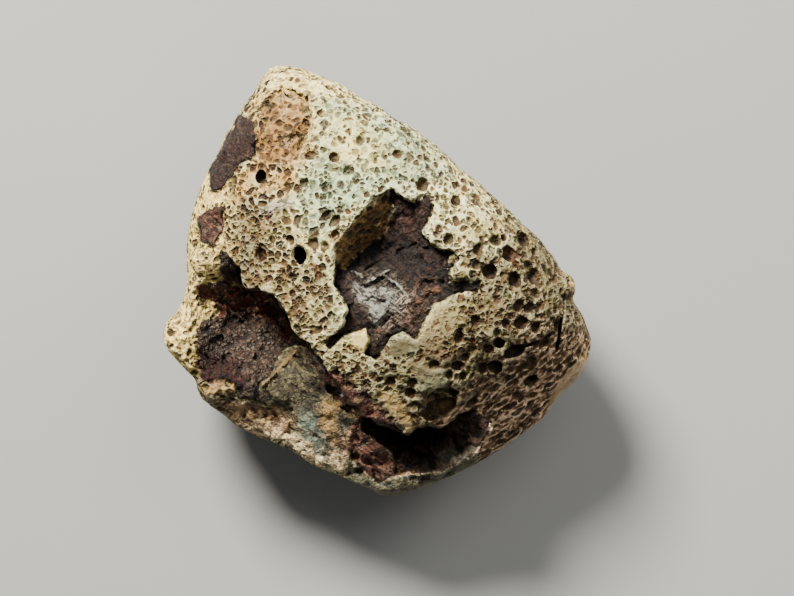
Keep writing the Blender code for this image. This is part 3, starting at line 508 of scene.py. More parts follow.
class Volume:
    """Signed distances on an even grid: negative in the stone, positive in the air."""

    def __init__(self, points, triangles):
        self.low = np.floor(np.array(GRID_LOW) / GRAIN).astype(int)
        high = np.ceil(np.array(GRID_HIGH) / GRAIN).astype(int)
        self.transform = openvdb.createLinearTransform(voxelSize=GRAIN)
        grid = openvdb.FloatGrid.createLevelSetFromPolygons(
            points.astype(np.float32), triangles=triangles.astype(np.uint32), transform=self.transform,
            halfWidth=BAND / GRAIN)
        self.values = np.zeros(high - self.low, dtype=np.float32)
        grid.copyToArray(self.values, ijk=tuple(int(v) for v in self.low))
        self.x, self.y, self.z = [
            ((np.arange(count) + start) * GRAIN).astype(np.float32)
            for count, start in zip(self.values.shape, self.low)]
        plan_x, plan_y = np.meshgrid(self.x, self.y, indexing="ij")
        self.plan = (plan_x.ravel().astype(float), plan_y.ravel().astype(float))
        self.plan_shape = plan_x.shape
        random_numbers = np.random.default_rng(11)
        coarse = random_numbers.uniform(-1.0, 1.0, [n // 3 + 2 for n in self.values.shape]).astype(np.float32)
        for axis in range(3):
            coarse = np.repeat(coarse, 3, axis=axis)
        nx, ny, nz = self.values.shape
        self.wobble = 1.9 * blur(coarse[:nx, :ny, :nz], 3)

    def soften(self, rounds):
        self.values = blur(self.values, rounds)

    def block(self, gap, height):
        """The part of the grid round an outline, the distances to it there, and those above a height."""
        gap = gap.reshape(self.plan_shape)[:, :, None].astype(np.float32)
        height = height.reshape(self.plan_shape)[:, :, None].astype(np.float32)
        near = gap[:, :, 0] < EDGE_REACH
        rows = np.nonzero(near.any(axis=1))[0]
        columns = np.nonzero(near.any(axis=0))[0]
        part = (slice(rows[0], rows[-1] + 1), slice(columns[0], columns[-1] + 1))
        return part, gap[part], self.z[None, None, :] - height[part]

    def cut(self, gap, floor):
        """Remove what is inside an outline and above a floor."""
        part, gap, above = self.block(gap, floor)
        self.values[part] = np.maximum(self.values[part], np.minimum(-gap, above))

    def add(self, gap, top, depth):
        """Add what is inside an outline, under a top and no further below it than depth."""
        part, gap, above = self.block(gap, top)
        outside = np.maximum(np.maximum(gap, above), -above - depth)
        self.values[part] = np.minimum(self.values[part], outside)

    def top(self):
        """Height of the uppermost surface over each place of the plan."""
        solid = self.values < 0.0
        last = np.minimum(solid.shape[2] - 1 - np.argmax(solid[:, :, ::-1], axis=2), solid.shape[2] - 2)
        inner = np.take_along_axis(self.values, last[:, :, None], axis=2)[:, :, 0]
        outer = np.take_along_axis(self.values, last[:, :, None] + 1, axis=2)[:, :, 0]
        height = self.z[last] + GRAIN * inner / np.minimum(inner - outer, -1e-3)
        return np.where(solid.any(axis=2), height, NO_STONE).ravel()

    def height(self, tops, x, y):
        """The entry of a table of heights that lies nearest to a place in plan."""
        column = int(round(x / GRAIN)) - self.low[0]
        row = int(round(y / GRAIN)) - self.low[1]
        return float(tops.reshape(self.plan_shape)[column, row])

    def around(self, centre, reach):
        """The part of the grid round a centre, and the steps to its places from there."""
        start = np.maximum(np.floor((centre - reach) / GRAIN).astype(int) - self.low, 0)
        stop = np.minimum(np.ceil((centre + reach) / GRAIN).astype(int) - self.low + 1, self.values.shape)
        part = tuple(slice(a, b) for a, b in zip(start, stop))
        gaps = (self.x[part[0]][:, None, None] - centre[0], self.y[part[1]][None, :, None] - centre[1],
                self.z[part[2]][None, None, :] - centre[2])
        return part, gaps

    def hollow(self, centre, axes, radii, uneven, notes, number):
        """Remove an ellipsoid with given axes, which are unit vectors, and half sizes; note where it is."""
        part, (gx, gy, gz) = self.around(centre, max(radii) + 0.4)
        square = 0.0
        for axis, radius in zip(axes, radii):
            square = square + ((gx * axis[0] + gy * axis[1] + gz * axis[2]) / radius) ** 2
        reach = (1.0 - np.sqrt(square) - uneven * self.wobble[part]) * min(radii)
        held = self.values[part]
        air = reach > held
        held[air] = reach[air]
        rim, owner = notes
        nearer = reach > rim[part]
        rim[part][nearer] = reach[nearer]
        owner[part][nearer] = number

    def sample(self, points, values=None, step=1):
        """Values between grid points, by straight-line blending; step is the stride of a thinned copy."""
        values = self.values if values is None else values
        place = (points / GRAIN - self.low) / step
        cell = np.clip(np.floor(place).astype(int), 0, np.array(values.shape) - 2)
        total = np.zeros(len(points))
        for corner, weight in corners(np.clip(place - cell, 0.0, 1.0)):
            total += weight * values[tuple((cell + corner).T)]
        return total

    def bulge(self, points, step, rounds):
        """How far the blurred stone lies under each point: positive on ridges, negative in hollows."""
        return self.sample(points, blur(self.values[::step, ::step, ::step], rounds), step)

    def nearest(self, points, values):
        """The value of the grid place that lies nearest to each point."""
        cell = np.clip(np.round(points / GRAIN).astype(int) - self.low, 0, np.array(values.shape) - 1)
        return values[tuple(cell.T)]

    def slope(self, points):
        """Unit vectors out of the stone."""
        steps = GRAIN * np.eye(3)
        out = np.stack([self.sample(points + step) - self.sample(points - step) for step in steps], axis=1)
        return out / np.maximum(np.linalg.norm(out, axis=1, keepdims=True), 1e-9)

    def surface(self):
        """Points, triangles and quads of the surface of the stone."""
        grid = openvdb.FloatGrid(BAND)
        grid.copyFromArray(self.values, ijk=tuple(int(v) for v in self.low), tolerance=0.0)
        grid.transform = self.transform
        return grid.convertToPolygons(0.0, 0.0)


# ---------------------------------------------------------------- the rind and its hollows
def carve_forms(volume):
    """The star, the shelf, the scoop, the bench and the cave, with rocky floors and what stands in them."""
    x, y = volume.plan
    here = partial(area, x, y)
    flat = level(x, y)
    ragged = 0.10 * fractal(flat, 0.9, 11) + 0.06 * noise(flat, 0.35, 12)

    def edge(outline, share):
        return edge_distance(x, y, outline) + share * ragged

    star = edge(STAR_EDGE, 1.6) - 0.05
    star_floor = spot_surface(STAR_SPOTS, x, y)
    bed = star_floor - 0.25 + rocky(x, y, 20, 0.65, 1.6)
    volume.add(star - 0.15, bed, 5.0)
    volume.cut(star, bed)
    wall_top = spot_surface(WALL_SPOTS, x, y) + 0.35 * fractal(flat, 1.4, 26)
    volume.add(edge(AREAS["star_wall"], 2.0), wall_top, 4.0)
    for number, (start, end, half) in enumerate(BLADES):
        gap = stroke_gap(x, y, start, end, half) + 0.4 * ragged
        volume.add(gap, star_floor + 0.16 + 0.06 * (number % 3) - 0.5 * np.abs(gap + half), 0.6)

    hollow = most(here("recess"), here("patch_upper"), here("patch_middle"), here("glitter"),
                  0.45 * here("greygreen"), 0.8 * here("olive"), 0.8 * here("crust"))
    relief = rocky(x, y, 30, 0.85, 1.5) - 0.12
    shelf_floor = spot_surface(SHELF_SPOTS, x, y) - 0.16
    volume.cut(edge(SHELF_EDGE, 2.0) - 0.02, shelf_floor + hollow * relief + 0.12 * fractal(flat, 0.7, 33))
    for start, end, half in RIDGES:
        gap = stroke_gap(x, y, start, end, half) + 1.6 * ragged
        volume.add(gap, shelf_floor + 0.28 + 0.6 * ragged, 0.9)

    tops = volume.top()
    knobs = 0.30 * fractal(flat, 1.5, 36) + 0.22 * fractal(flat, 0.7, 37, 2, 0.6)
    volume.cut(edge(AREAS["scoop"], 1.6), tops - 0.35 - 0.5 * ramp(x, -10.5, -6.6) + knobs)
    volume.cut(edge(AREAS["bench"], 1.5), tops - 0.15 + rocky(x, y, 48, 1.1, 1.5))

    cave = edge(CAVE_EDGE, 1.5) - 0.05
    bottom = spot_surface(CAVE_SPOTS, x, y) + 1.5 * rocky(x, y, 40, 1.0, 1.0)
    volume.add(cave - 0.3, bottom, 9.0)
    volume.cut(cave, bottom)


def turned(degrees):
    """Three axes: one in plan at an angle to X, one across it, and upright."""
    a = math.radians(degrees)
    along = np.array([math.cos(a), math.sin(a), 0.0])
    across = np.array([-math.sin(a), math.cos(a), 0.0])
    return along, across, np.cross(along, across)


def carve_details(volume, notes, number):
    """Single features that are too fine for the solid: deep holes, slots and cracks."""
    tops = volume.top()

    def hole(place, sunk, degrees, radii, beside=(0.0, 0.0)):
        centre = np.array([place[0] + beside[0], place[1] + beside[1], volume.height(tops, *place) - sunk])
        volume.hollow(centre, turned(degrees), radii, HOLE_UNEVEN, notes, number)

    for beside in SQUARE_HOLE_CORNERS:
        hole(SQUARE_HOLE, 0.6, 80, (0.56, 0.52, 1.7), beside)
    for x, y, degrees, radii, sunk in HOLES:
        hole((x, y), sunk, degrees, radii)
    for ax, ay, bx, by, wide, deep in CRACKS:
        degrees = math.degrees(math.atan2(by - ay, bx - ax))
        length = math.hypot(bx - ax, by - ay)
        hole(((ax + bx) / 2, (ay + by) / 2), 0.0, degrees, (length * 0.6, wide, deep))


def pit_style(points, normals):
    """For each place: how likely a pit is, how large, how long, how finely pitted, and how dark and open."""
    x, y, z = points.T
    here = partial(area, x, y)
    part = regions(points, normals)
    top = part["top"]
    pale = here("pale", 0.8) * top
    chance = 1.0 - 0.97 * part["matrix"] - 0.85 * part["smooth"] - 0.3 * pale - 0.97 * part["mottle"]
    chance = (chance - 0.5 * here("scoop", 0.5) * top - 0.6 * part["wall"]) * ramp(normals[:, 2], -0.9, -0.5)
    right = ramp(x, 5.0, 12.0) * ramp(-y, -4.0, 2.0)
    left = ramp(-x, 7.0, 12.0)
    size = 0.92 + 0.06 * right - 0.16 * left * ramp(y, -6.0, 0.0)
    flank = np.where(z < 23.2, ramp(down_flank(x, y, FLANK_START), 0.8, 3.4), 0.0) * ramp(-y, 2.0, 6.0)
    lobe = here("lobe", 0.8, 0.5, 38)
    # Darker towards the right, the bottom and parts of the left; the material darkens ridges by it, partly as
    # painted shade.
    dark = most(0.9 * ramp(x - 0.8 * y, 3.5, 12.0), 0.9 * left * ramp(-y, -9.0, -5.0),
                0.6 * ramp(-y, 4.0, 8.0), 0.45 * lobe)
    return chance - 0.45 * flank, size, flank, most(left, lobe), dark * top + (1.0 - top)


def pit_list(volume):
    """Places, axes and half sizes of all the pits, from the largest to the smallest."""
    rng = random.Random(17)
    points, _, _ = volume.surface()
    points = points[points[:, 2] > PITS_FROM].astype(float)
    points = points[np.random.default_rng(5).permutation(len(points))]
    normals = volume.slope(points)
    chance, size, flank, fine, dark = pit_style(points, normals)
    wear = 0.5 + 0.5 * noise(points, 4.5, 71)
    grid = {}
    pits = []

    def key(spot):
        return tuple((spot // PIT_CELL).astype(int))

    def free(spot, radius, overlap):
        kx, ky, kz = key(spot)
        for dx, dy, dz in product((-1, 0, 1), repeat=3):
            for other, reach in grid.get((kx + dx, ky + dy, kz + dz), ()):
                gap = (spot[0] - other[0]) ** 2 + (spot[1] - other[1]) ** 2 + (spot[2] - other[2]) ** 2
                if gap < ((radius + reach) * overlap) ** 2:
                    return False
        return True

    def put(spot, normal, radius, sink, stretch, turn):
        grid.setdefault(key(spot), []).append((spot, radius))
        side = np.array([math.cos(turn), math.sin(turn), 0.0])
        side = side - normal * (side @ normal)
        if np.linalg.norm(side) < 1e-3:
            side = np.array([0.0, 0.0, 1.0]) - normal * normal[2]
        side = side / np.linalg.norm(side)
        axes = (side, np.cross(normal, side), normal)
        radii = (radius * stretch, radius, radius)
        pits.append((spot + normal * radius * sink, axes, radii, radius * (1.0 - sink)))

    facing_down = np.where(normals[:, 2] > 0.35, 0.0, 50.0)
    for x, y, radius in PITS:
        near = int(np.argmin(np.hypot(points[:, 0] - x, points[:, 1] - y) + facing_down))
        sink = rng.uniform(0.1, 0.4) if dark[near] > 0.5 else rng.uniform(0.25, 0.5)
        radius = radius * rng.uniform(0.8, 1.0)
        put(points[near], normals[near], radius, sink, rng.uniform(1.0, 1.2), rng.uniform(0, 3.1))

    cursor = 0
    for kind, smallest, largest, tries, overlap, keen in PIT_ROUNDS:
        for _ in range(tries):
            cursor = (cursor + 1) % len(points)
            worn = 0.45 + 0.55 * wear[cursor] if kind == "large" else 1.0
            if rng.random() > chance[cursor] * keen * worn:
                continue
            radius = rng.uniform(smallest, largest) * size[cursor]
            if kind == "large" and rng.random() > dark[cursor] * (1.0 - fine[cursor]):
                continue
            if kind == "middle" and rng.random() > 0.4 + dark[cursor]:
                continue
            spot = points[cursor]
            if not free(spot, radius, overlap):
                continue
            stretch = 1.0 + rng.uniform(0.0, 0.3) + flank[cursor] * rng.uniform(0.2, 0.8)
            drawn = flank[cursor] > 0.2
            turn = math.radians(35.0) + rng.uniform(-0.2, 0.2) if drawn else rng.uniform(0, 3.14)
            open_pit = rng.random() < 0.15 + 0.7 * dark[cursor]
            sink = rng.uniform(-0.1, 0.4) if open_pit else rng.uniform(0.4, 0.7)
            put(spot, normals[cursor], radius, sink, stretch, turn)
    return pits


def roughen(points, normals):
    """Fine unevenness of the finished surface, in millimetres along its normals."""
    part = regions(points, normals)
    grainy = fractal(points, 0.42, 51, 2) * (0.03 + 0.05 * part["matrix"]) * (1.0 - 0.8 * part["smooth"])
    scoop = 0.09 * area(*points[:, :2].T, "scoop", 0.6) * part["top"]
    grainy = grainy + scoop * fractal(points, 0.7, 53, 3, 0.7)
    return (grainy + 0.05 * fractal(points, 1.6, 52, 2)) * ramp(points[:, 2], 0.15, 1.2)


# ---------------------------------------------------------------- mesh
def read(items, name, kind=float):
    """Threes of numbers of a mesh's items, as rows."""
    flat = np.empty(len(items) * 3, dtype=kind)
    items.foreach_get(name, flat)
    return flat.reshape(-1, 3)


def cad_arrays(item):
    """Points, in millimetres, and triangles of a solid."""
    item.data.calc_loop_triangles()
    matrix = np.array(item.matrix_world)
    points = read(item.data.vertices, "co") @ matrix[:3, :3].T + matrix[:3, 3]
    return points * 1000.0, read(item.data.loop_triangles, "vertices", np.int64)


def make_mesh(name, points, triangles, quads):
    mesh = bpy.data.meshes.new(name)
    mesh.vertices.add(len(points))
    mesh.vertices.foreach_set("co", (points * 0.001).ravel())
    loops = np.concatenate([triangles.ravel(), quads.ravel()]).astype(np.int32)
    sizes = np.concatenate([np.full(len(triangles), 3), np.full(len(quads), 4)]).astype(np.int32)
    starts = np.concatenate([[0], np.cumsum(sizes)[:-1]]).astype(np.int32)
    mesh.loops.add(len(loops))
    mesh.loops.foreach_set("vertex_index", loops)
    mesh.polygons.add(len(sizes))
    mesh.polygons.foreach_set("loop_start", starts)
    mesh.update(calc_edges=True)
    mesh.validate()
    return mesh


def keep_largest(points, triangles, quads):
    """Only the nodule's own surface, without crumbs cut loose by the pits."""
    triangles = triangles.astype(np.int64)
    quads = quads.astype(np.int64)
    parent = np.arange(len(points))
    edges = np.concatenate(
        [triangles[:, [0, 1]], triangles[:, [1, 2]], quads[:, [0, 1]], quads[:, [1, 2]], quads[:, [2, 3]]])
    while True:
        low = np.minimum(parent[edges[:, 0]], parent[edges[:, 1]])
        before = parent.copy()
        np.minimum.at(parent, edges[:, 0], low)
        np.minimum.at(parent, edges[:, 1], low)
        parent = parent[parent]
        if (before == parent).all():
            break
    names, counts = np.unique(parent, return_counts=True)
    keep = parent == names[np.argmax(counts)]
    new = np.cumsum(keep) - 1
    return points[keep].astype(float), new[triangles[keep[triangles[:, 0]]]], new[quads[keep[quads[:, 0]]]]


def reduced(mesh, share):
    """A copy of a mesh with a share of its triangles."""
    item = bpy.data.objects.new("rough", mesh)
    bpy.context.scene.collection.objects.link(item)
    reduce = item.modifiers.new("Reduce", "DECIMATE")
    reduce.ratio = min(1.0, share)
    graph = bpy.context.evaluated_depsgraph_get()
    graph.update()
    final = bpy.data.meshes.new_from_object(item.evaluated_get(graph), depsgraph=graph)
    bpy.data.objects.remove(item)
    return final


def dressed_mesh():
    """The skin, and what paint() needs to know of the volume it was made from."""
    volume = Volume(*cad_arrays(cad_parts[NODE]))
    volume.soften(round(SOFTENED / GRAIN))
    carve_forms(volume)
    before = volume.values.copy()
    owner = np.zeros(volume.values.shape, dtype=np.int32)
    rim = np.full(volume.values.shape, RIM_REACH, dtype=np.float32)
    pits = pit_list(volume)
    for number, (centre, axes, radii, _) in enumerate(pits, start=1):
        volume.hollow(centre, axes, radii, PIT_UNEVEN, (rim, owner), number)
    carve_details(volume, (rim, owner), len(pits) + 1)
    deep = np.array([0.1] + [size for _, _, _, size in pits] + [1.0])
    points, triangles, quads = keep_largest(*volume.surface())
    mesh = make_mesh("rough", points, triangles, quads)
    normals = read(mesh.vertex_normals, "vector")
    if (normals * volume.slope(points)).sum() < 0.0:
        mesh = make_mesh("rough", points, triangles[:, ::-1], quads[:, ::-1])
        normals = read(mesh.vertex_normals, "vector")
    points = points + normals * roughen(points, normals)[:, None]
    points[:, 2] = np.where(points[:, 2] < RESTING, 0.0, points[:, 2])
    mesh.vertices.foreach_set("co", (points * 0.001).ravel())
    mesh.update()
    count = len(triangles) + 2 * len(quads)
    final = reduced(mesh, TRIANGLES / count)
    print("pits", len(pits), "triangles", count, "->", sum(len(p.vertices) - 2 for p in final.polygons))
    return final, volume, before, rim, owner, deep


def paint(mesh, volume, before, rim, owner, deep):
    """Numbers on the mesh that the material reads: where each kind of stone is, and painted light and shade."""
    points = read(mesh.vertices, "co") * 1000.0
    normals = read(mesh.vertex_normals, "vector")
    x, y, z = points.T
    here = partial(area, x, y)
    part = regions(points, normals)
    top = part["top"]
    _, _, _, busy, dark = pit_style(points, normals)
    pit_of_point = volume.nearest(points, owner)
    star_gap = edge_distance(x, y, STAR_EDGE)

    def put(name, values):
        layer = mesh.attributes.new(name, "FLOAT", "POINT")
        layer.data.foreach_set("value", values.astype(np.float32))

    def put_most(name, *others):
        """The largest of a number's painted areas and of the others, on what faces up."""
        put(name, most(*[share * here(*how) for share, *how in PAINTED[name]], *others) * top)

    outside = np.minimum(volume.sample(points, rim), 0.0)
    put("pit", np.clip(-volume.sample(points, before), 0.0, BAND) + outside)
    put("chance", np.random.default_rng(3).random(len(deep))[pit_of_point])
    put("deep", deep[pit_of_point])
    # Crests and creases, and below them broad hollows: the material paints highlight on crests and shade in
    # creases and hollows from these numbers.
    put("bulge", np.clip(volume.bulge(points, 2, 2) / 0.12, -1.0, 1.0))
    put("hollow", np.clip(-volume.bulge(points, 4, 4) / 0.3, -1.0, 1.0))
    for name in ("matrix", "smooth", "mottle"):
        put(name, part[name])
    # The bowl above the cave takes a share of the star wall's dark colours: painted shade.
    put("wall", np.maximum(part["wall"], 0.45 * here("bowl", 0.3, 0.3, 28) * top))
    put("low", ramp(-z, -15.4, -14.2) * ramp(-y, 13.0, 15.0) * (1.0 - 0.75 * here("crust", 0.5)))
    # Painted shade, with some darker stone: the face darker towards the lower right, where it turns from the
    # light.
    put("shade", ramp(down_flank(x, y), 1.0, 13.0))
    # Darker, greyer ridges towards the right and bottom and on faces turned down: partly the stone's tone,
    # partly painted shade.
    put("dark", dark)
    put("busy", busy * top)
    for name in ("mint", "tan", "blue", "frost", "bits", "shard", "film", "scoop"):
        put_most(name)
    # Lighter at the left nub and along the top edge: partly paler stone, partly painted light where these face
    # the lamp.
    put_most("bright", ramp(-x, 12.0, 15.0) * ramp(y, -8.8, -8.0) * (1.0 + 0.25 * ramp(-y, 1.0, 4.0)),
             0.5 * ramp(y, 15.5, 18.0))
    put_most("speck", 0.12 * part["matrix"])
    put_most("teal", here("greygreen", 0.6, 0.6, 12) * ramp(-y, 10.5, 14.0))
    put_most("ochre", 0.5 * strokes(x, y, RIDGES, -0.25, 0.05))
    put_most("white", strokes(x, y, BLADES, -0.10, 0.06), 0.9 * strokes(x, y, EDGES, -0.12, 0.08))
    on_rim = ramp(-np.abs(star_gap - 0.15), -0.45, -0.1)
    put_most("rust", 0.8 * on_rim * ramp(fractal(points, 2.2, 61), 0.1, 0.5) * ramp(-y, 2.0, 4.5))
    in_star = ramp(-star_gap, -0.2, 0.2)
    put_most("red", 0.35 * in_star * ramp(y, 3.0, 5.0))

    # Brighter than the material's own colours where it is positive, darker where it is negative: mostly
    # the stone's own tones, with the painted light and shade named in LIFTED and below.
    lift = sum(share * here(*how) for share, *how in LIFTED)
    lift = lift + 0.7 * here("greygreen", 0.6) * ramp(-y, 12.5, 15.0)
    # The star's rock darker, less so in its upper arm, where painted light makes up for the shadow of the rim.
    lift = lift - (0.75 - 0.45 * ramp(y, 3.5, 5.0)) * in_star
    # Painted shadow in a band just inside the star's rim.
    lift = lift - 0.35 * ramp(-star_gap, -0.2, 0.1) * ramp(star_gap, -1.0, -0.3)
    put("lift", lift * top)

    honey = most(here("honey_bump", 0.2, 0.1, 14), here("honey_band", 0.4, 0.5, 15)) * honey_height(points)
    put("honey", most(honey * ramp(normals[:, 2], -0.6, -0.2), 0.7 * here("spur", 0.2, 0.3, 37) * top))
    wander = 2.4 * fractal(points, 4.5, 72) + 0.8 * fractal(points, 1.4, 73)
    put("flank", ramp(down_flank(x, y, FLANK_START), 0.2, 4.5) * ramp(wander - y, 0.5, 5.5))


# ---------------------------------------------------------------- material
def tint(value):
    """The linear colour of three everyday numbers from 0 to 255. Anything else is handed back as it is."""
    if not isinstance(value, tuple) or len(value) != 3:
        return value
    return tuple(v / 255.0 / 12.92 if v <= 10 else ((v / 255.0 + 0.055) / 1.055) ** 2.4 for v in value) + (1.0,)


class Value:
    """What a node gives out, which can be added to, taken from and multiplied."""

    def __init__(self, nodes, socket):
        self.nodes = nodes
        self.socket = socket

    def __add__(self, other):
        return self.nodes.math("ADD", self, other)

    def __sub__(self, other):
        return self.nodes.math("SUBTRACT", self, other)

    def __rsub__(self, other):
        return self.nodes.math("SUBTRACT", other, self)

    def __mul__(self, other):
        return self.nodes.math("MULTIPLY", self, other)

    def other(self, key):
        """Another output of the same node."""
        return Value(self.nodes, self.socket.node.outputs[key])


class Nodes:
    """Small helper for writing a node material."""

    def __init__(self, name):
        self.material = bpy.data.materials.new(name)
        self.material.use_nodes = True
        self.tree = self.material.node_tree
        self.shader = self.tree.nodes["Principled BSDF"]
        self.place = self.node("TexCoord", {}, "Object")
        self.wandering = self.place

    def node(self, kind, inputs, output=0, **settings):
        """An output of a new node with some settings, and with inputs given by number or name."""
        node = self.tree.nodes.new("ShaderNode" + kind)
        for name, value in settings.items():
            setattr(node, name, value)
        for key, value in inputs.items():
            self.set(node.inputs[key], value)
        return Value(self, node.outputs[output])

    def set(self, socket, value):
        if isinstance(value, Value):
            self.tree.links.new(value.socket, socket)
        else:
            socket.default_value = value

    def shade(self, inputs):
        """The material, once inputs of its shader are set."""
        for name, value in inputs.items():
            self.set(self.shader.inputs[name], value)
        return self.material

    def painted(self, names):
        """The numbers painted on the mesh, by name."""
        numbers = {name: self.node("Attribute", {}, "Fac", attribute_name=name) for name in names.split()}
        return SimpleNamespace(**numbers)

    def math(self, operation, a, b, clamp=False):
        return self.node("Math", {0: a, 1: b}, operation=operation, use_clamp=clamp)

    def larger(self, a, b):
        return self.math("MAXIMUM", a, b)

    def mix(self, share, a, b, kind="MIX"):
        """Colour a with a share of colour b over it."""
        return self.node("Mix", {0: share, 6: tint(a), 7: tint(b)}, 2, data_type="RGBA", blend_type=kind)

    def cover(self, base, *layers):
        """A colour with others laid over it one by one: share, colour and how it is laid on."""
        for share, over, *kind in layers:
            base = self.mix(share, base, over, *kind)
        return base

    def range(self, value, start, end, low=0.0, high=1.0):
        """Eased from low to high while the value goes from start to end."""
        inputs = {0: value, 1: start, 2: end, 3: low, 4: high}
        return self.node("MapRange", inputs, interpolation_type="SMOOTHSTEP")

    def noise(self, size, detail=3.0, rough=0.55, stretch=None):
        """Noise whose features are about size millimetres."""
        place = self.stretched(stretch)
        inputs = {"Scale": 1000.0 / size, "Detail": detail, "Roughness": rough, "Vector": place}
        return self.node("TexNoise", inputs)

    def spots(self, size, start, end, share=1.0, rough=0.55):
        """Soft spots of about one size, where a noise goes from start to end."""
        return self.range(self.noise(size, 3.0, rough), start, end, 0.0, share)

    def moved(self, *step):
        """The wandering coordinates, moved so that no two patterns fall together."""
        return self.node("VectorMath", {0: self.wandering, 1: step}, operation="ADD")

    def cells(self, size, place, feature="F1"):
        """How far each place is from the middle of its cell, or from the edge."""
        return self.node("TexVoronoi", {"Scale": 1000.0 / size, "Vector": place}, feature=feature)

    def number(self, cells):
        """A random number, 0 to 1, for each cell. The node has others."""
        return self.node("SeparateColor", {0: cells.other("Color")})

    def foam(self, size, seed, drawn=None, stretch=None):
        """Touching cells: how far into the hollow, 0 to 1, how far off the crest, and two random numbers."""
        place = self.moved(seed * 0.0131, seed * 0.0077, seed * 0.0173)
        if drawn is not None:
            inputs = {0: drawn, 4: place, 5: self.stretched(stretch, place)}
            place = self.node("Mix", inputs, 1, data_type="VECTOR")
        middle = self.cells(size, place)
        edge = self.cells(size, place, "DISTANCE_TO_EDGE")
        number = self.number(middle)
        hollow = self.range(edge, -0.02, 0.27) * self.range(middle, 0.85, 0.25)
        return hollow, self.range(edge, 0.0, 0.12), number, number.other(1)

    def chips(self, size, seed):
        """Flat-faced chips: a random number, 0 to 1, for each."""
        place = self.moved(seed * 0.0119, seed * 0.0163, seed * 0.0071)
        return self.number(self.cells(size, place))

    def wander(self, amount, size):
        """From here on, foam and chips are laid on coordinates that are pushed about by a noise."""
        push = self.node("TexNoise", {"Scale": 1000.0 / size, "Vector": self.place}, "Color")
        inputs = {0: push, 1: (amount * 0.001,) * 3, 2: self.place}
        self.wandering = self.node("VectorMath", inputs, operation="MULTIPLY_ADD")

    def stretched(self, stretch, place=None):
        """Coordinates drawn out along a direction in plan: (degrees, how many times longer)."""
        if stretch is None:
            return self.place
        degrees, times = stretch
        inputs = {"Rotation": (0.0, 0.0, math.radians(degrees)), "Scale": (times, 1.0, 1.0),
                  "Vector": place or self.place}
        return self.node("Mapping", inputs, vector_type="TEXTURE")


def small_cells(n, p):
    """Cells too small for the mesh, all over the rind but faint where it is smooth, and long on the flank."""
    n.wander(0.26, 0.6)
    soft = n.larger(p.smooth * 0.85, p.mottle * 0.85)
    rind = n.math("SUBTRACT", 1.0, n.larger(p.matrix, soft), True)
    p.rind = rind * (1.0 - p.bright * 0.35)
    drawn = n.range(p.flank, 0.35, 0.65)
    coarse, p.coarse_slope, p.coarse_deep, coarse_tone = n.foam(0.80, 2.0, drawn, (36.0, 1.7))
    small, p.small_slope, p.small_deep, small_tone = n.foam(0.42, 3.0)
    p.knob = small * n.range(small_tone, 0.2, 0.9)
    coarse = coarse * (n.range(p.coarse_deep, 0.15, 1.0, 0.05, 0.38) + p.flank * 0.12)
    small = small * n.range(p.small_deep, 0.25, 1.0, 0.02, 0.30)
    p.coarse = coarse * n.range(p.pit, 0.10, -0.05, 0.35, 1.0)
    tiny = p.coarse + small * (0.85 - p.flank * 0.4)
    p.tiny = tiny * p.rind * (n.larger(p.dark, p.busy * 1.6) * 0.5 + 1.15)
    p.depth = n.larger(p.pit, 0.0) + p.tiny + (p.fine - 0.5) * 0.12
    p.tone = n.mix(n.range(p.pit, 0.02, 0.06), coarse_tone, p.chance)


def ridge_colour(n, p):
    """Ridges: cream to bone, a cool mint in the middle and a warm tan near the peak."""
    stain = n.mix(n.range(p.medium, 0.40, 0.60), (150, 112, 58), (196, 152, 82))
    return n.cover(
        (213, 198, 124),
        (n.range(p.broad, 0.38, 0.62), (190, 192, 140)),
        (n.range(p.medium, 0.35, 0.7), (234, 231, 174)),
        (p.mint * n.range(p.medium, 0.2, 0.6, 0.2, 0.8), (168, 186, 144)),
        (p.tan * n.range(p.medium, 0.2, 0.6), (206, 160, 80)),
        (p.busy * n.spots(0.9, 0.46, 0.60, 0.75, 0.65), stain),
        (p.scoop * 0.85, (140, 98, 48)),
        (p.smooth * 0.8, (142, 134, 92)),
        # Painted shade: darker towards the lower right.
        (p.shade * 0.7, (126, 122, 92)),
        # Darker, greyer ridges: partly the stone's tone, partly painted shade.
        (p.dark * 0.85, (98, 90, 64)),
        (p.flank * 0.9, (234, 196, 156)),
        # Lighter at the left nub and the top edge: partly paler stone, partly painted light.
        (p.bright * 0.8, (240, 210, 126)))


def shallow_colour(n, p):
    """Shallow cell floors: each has its own tone, pale green-grey, olive, tan or brown."""
    pale = n.cover(
        (94, 112, 84),
        (n.range(p.tone, 0.3, 0.7), (90, 90, 54)),
        (n.range(p.tone, 0.80, 0.95), (92, 68, 36)))
    return n.cover(
        (104, 92, 48),
        (n.range(p.tone, 0.10, 0.40), (88, 68, 30)),
        (n.range(p.tone, 0.55, 0.85), (84, 58, 27)),
        (p.mint * 0.8, pale),
        (n.larger(p.scoop, p.tan * 0.7), (88, 60, 28)),
        (p.busy * n.range(p.tone, 0.35, 0.60, 0.0, 0.8), (86, 58, 21)),
        (p.busy * n.range(p.tone, 0.30, 0.10, 0.0, 0.8), (92, 82, 38)),
        (p.flank * 0.9, (112, 82, 48)),
        # Lighter at the left nub and the top edge: partly paler stone, partly painted light.
        (p.bright * 0.8, (180, 154, 84)))


def deep_colour(n, p):
    """Floors of the pits."""
    return n.cover(
        (58, 46, 18),
        (n.range(p.tone, 0.2, 0.6), (54, 36, 13)),
        (n.range(p.tone, 0.80, 0.92), (72, 44, 18)),
        (p.flank * 0.7, (52, 34, 16)))


def wall_colour(n, p):
    """The star's wall, in shadow: its own olive-brown, darkened as painted shade."""
    return n.cover(
        (62, 41, 18),
        (n.range(p.medium, 0.42, 0.62), (118, 84, 42)),
        (n.spots(0.6, 0.50, 0.64, 0.6, 0.6), (144, 108, 62)),
        (n.range(p.coarse, 0.04, 0.16, 0.0, 0.9), (30, 19, 9)))


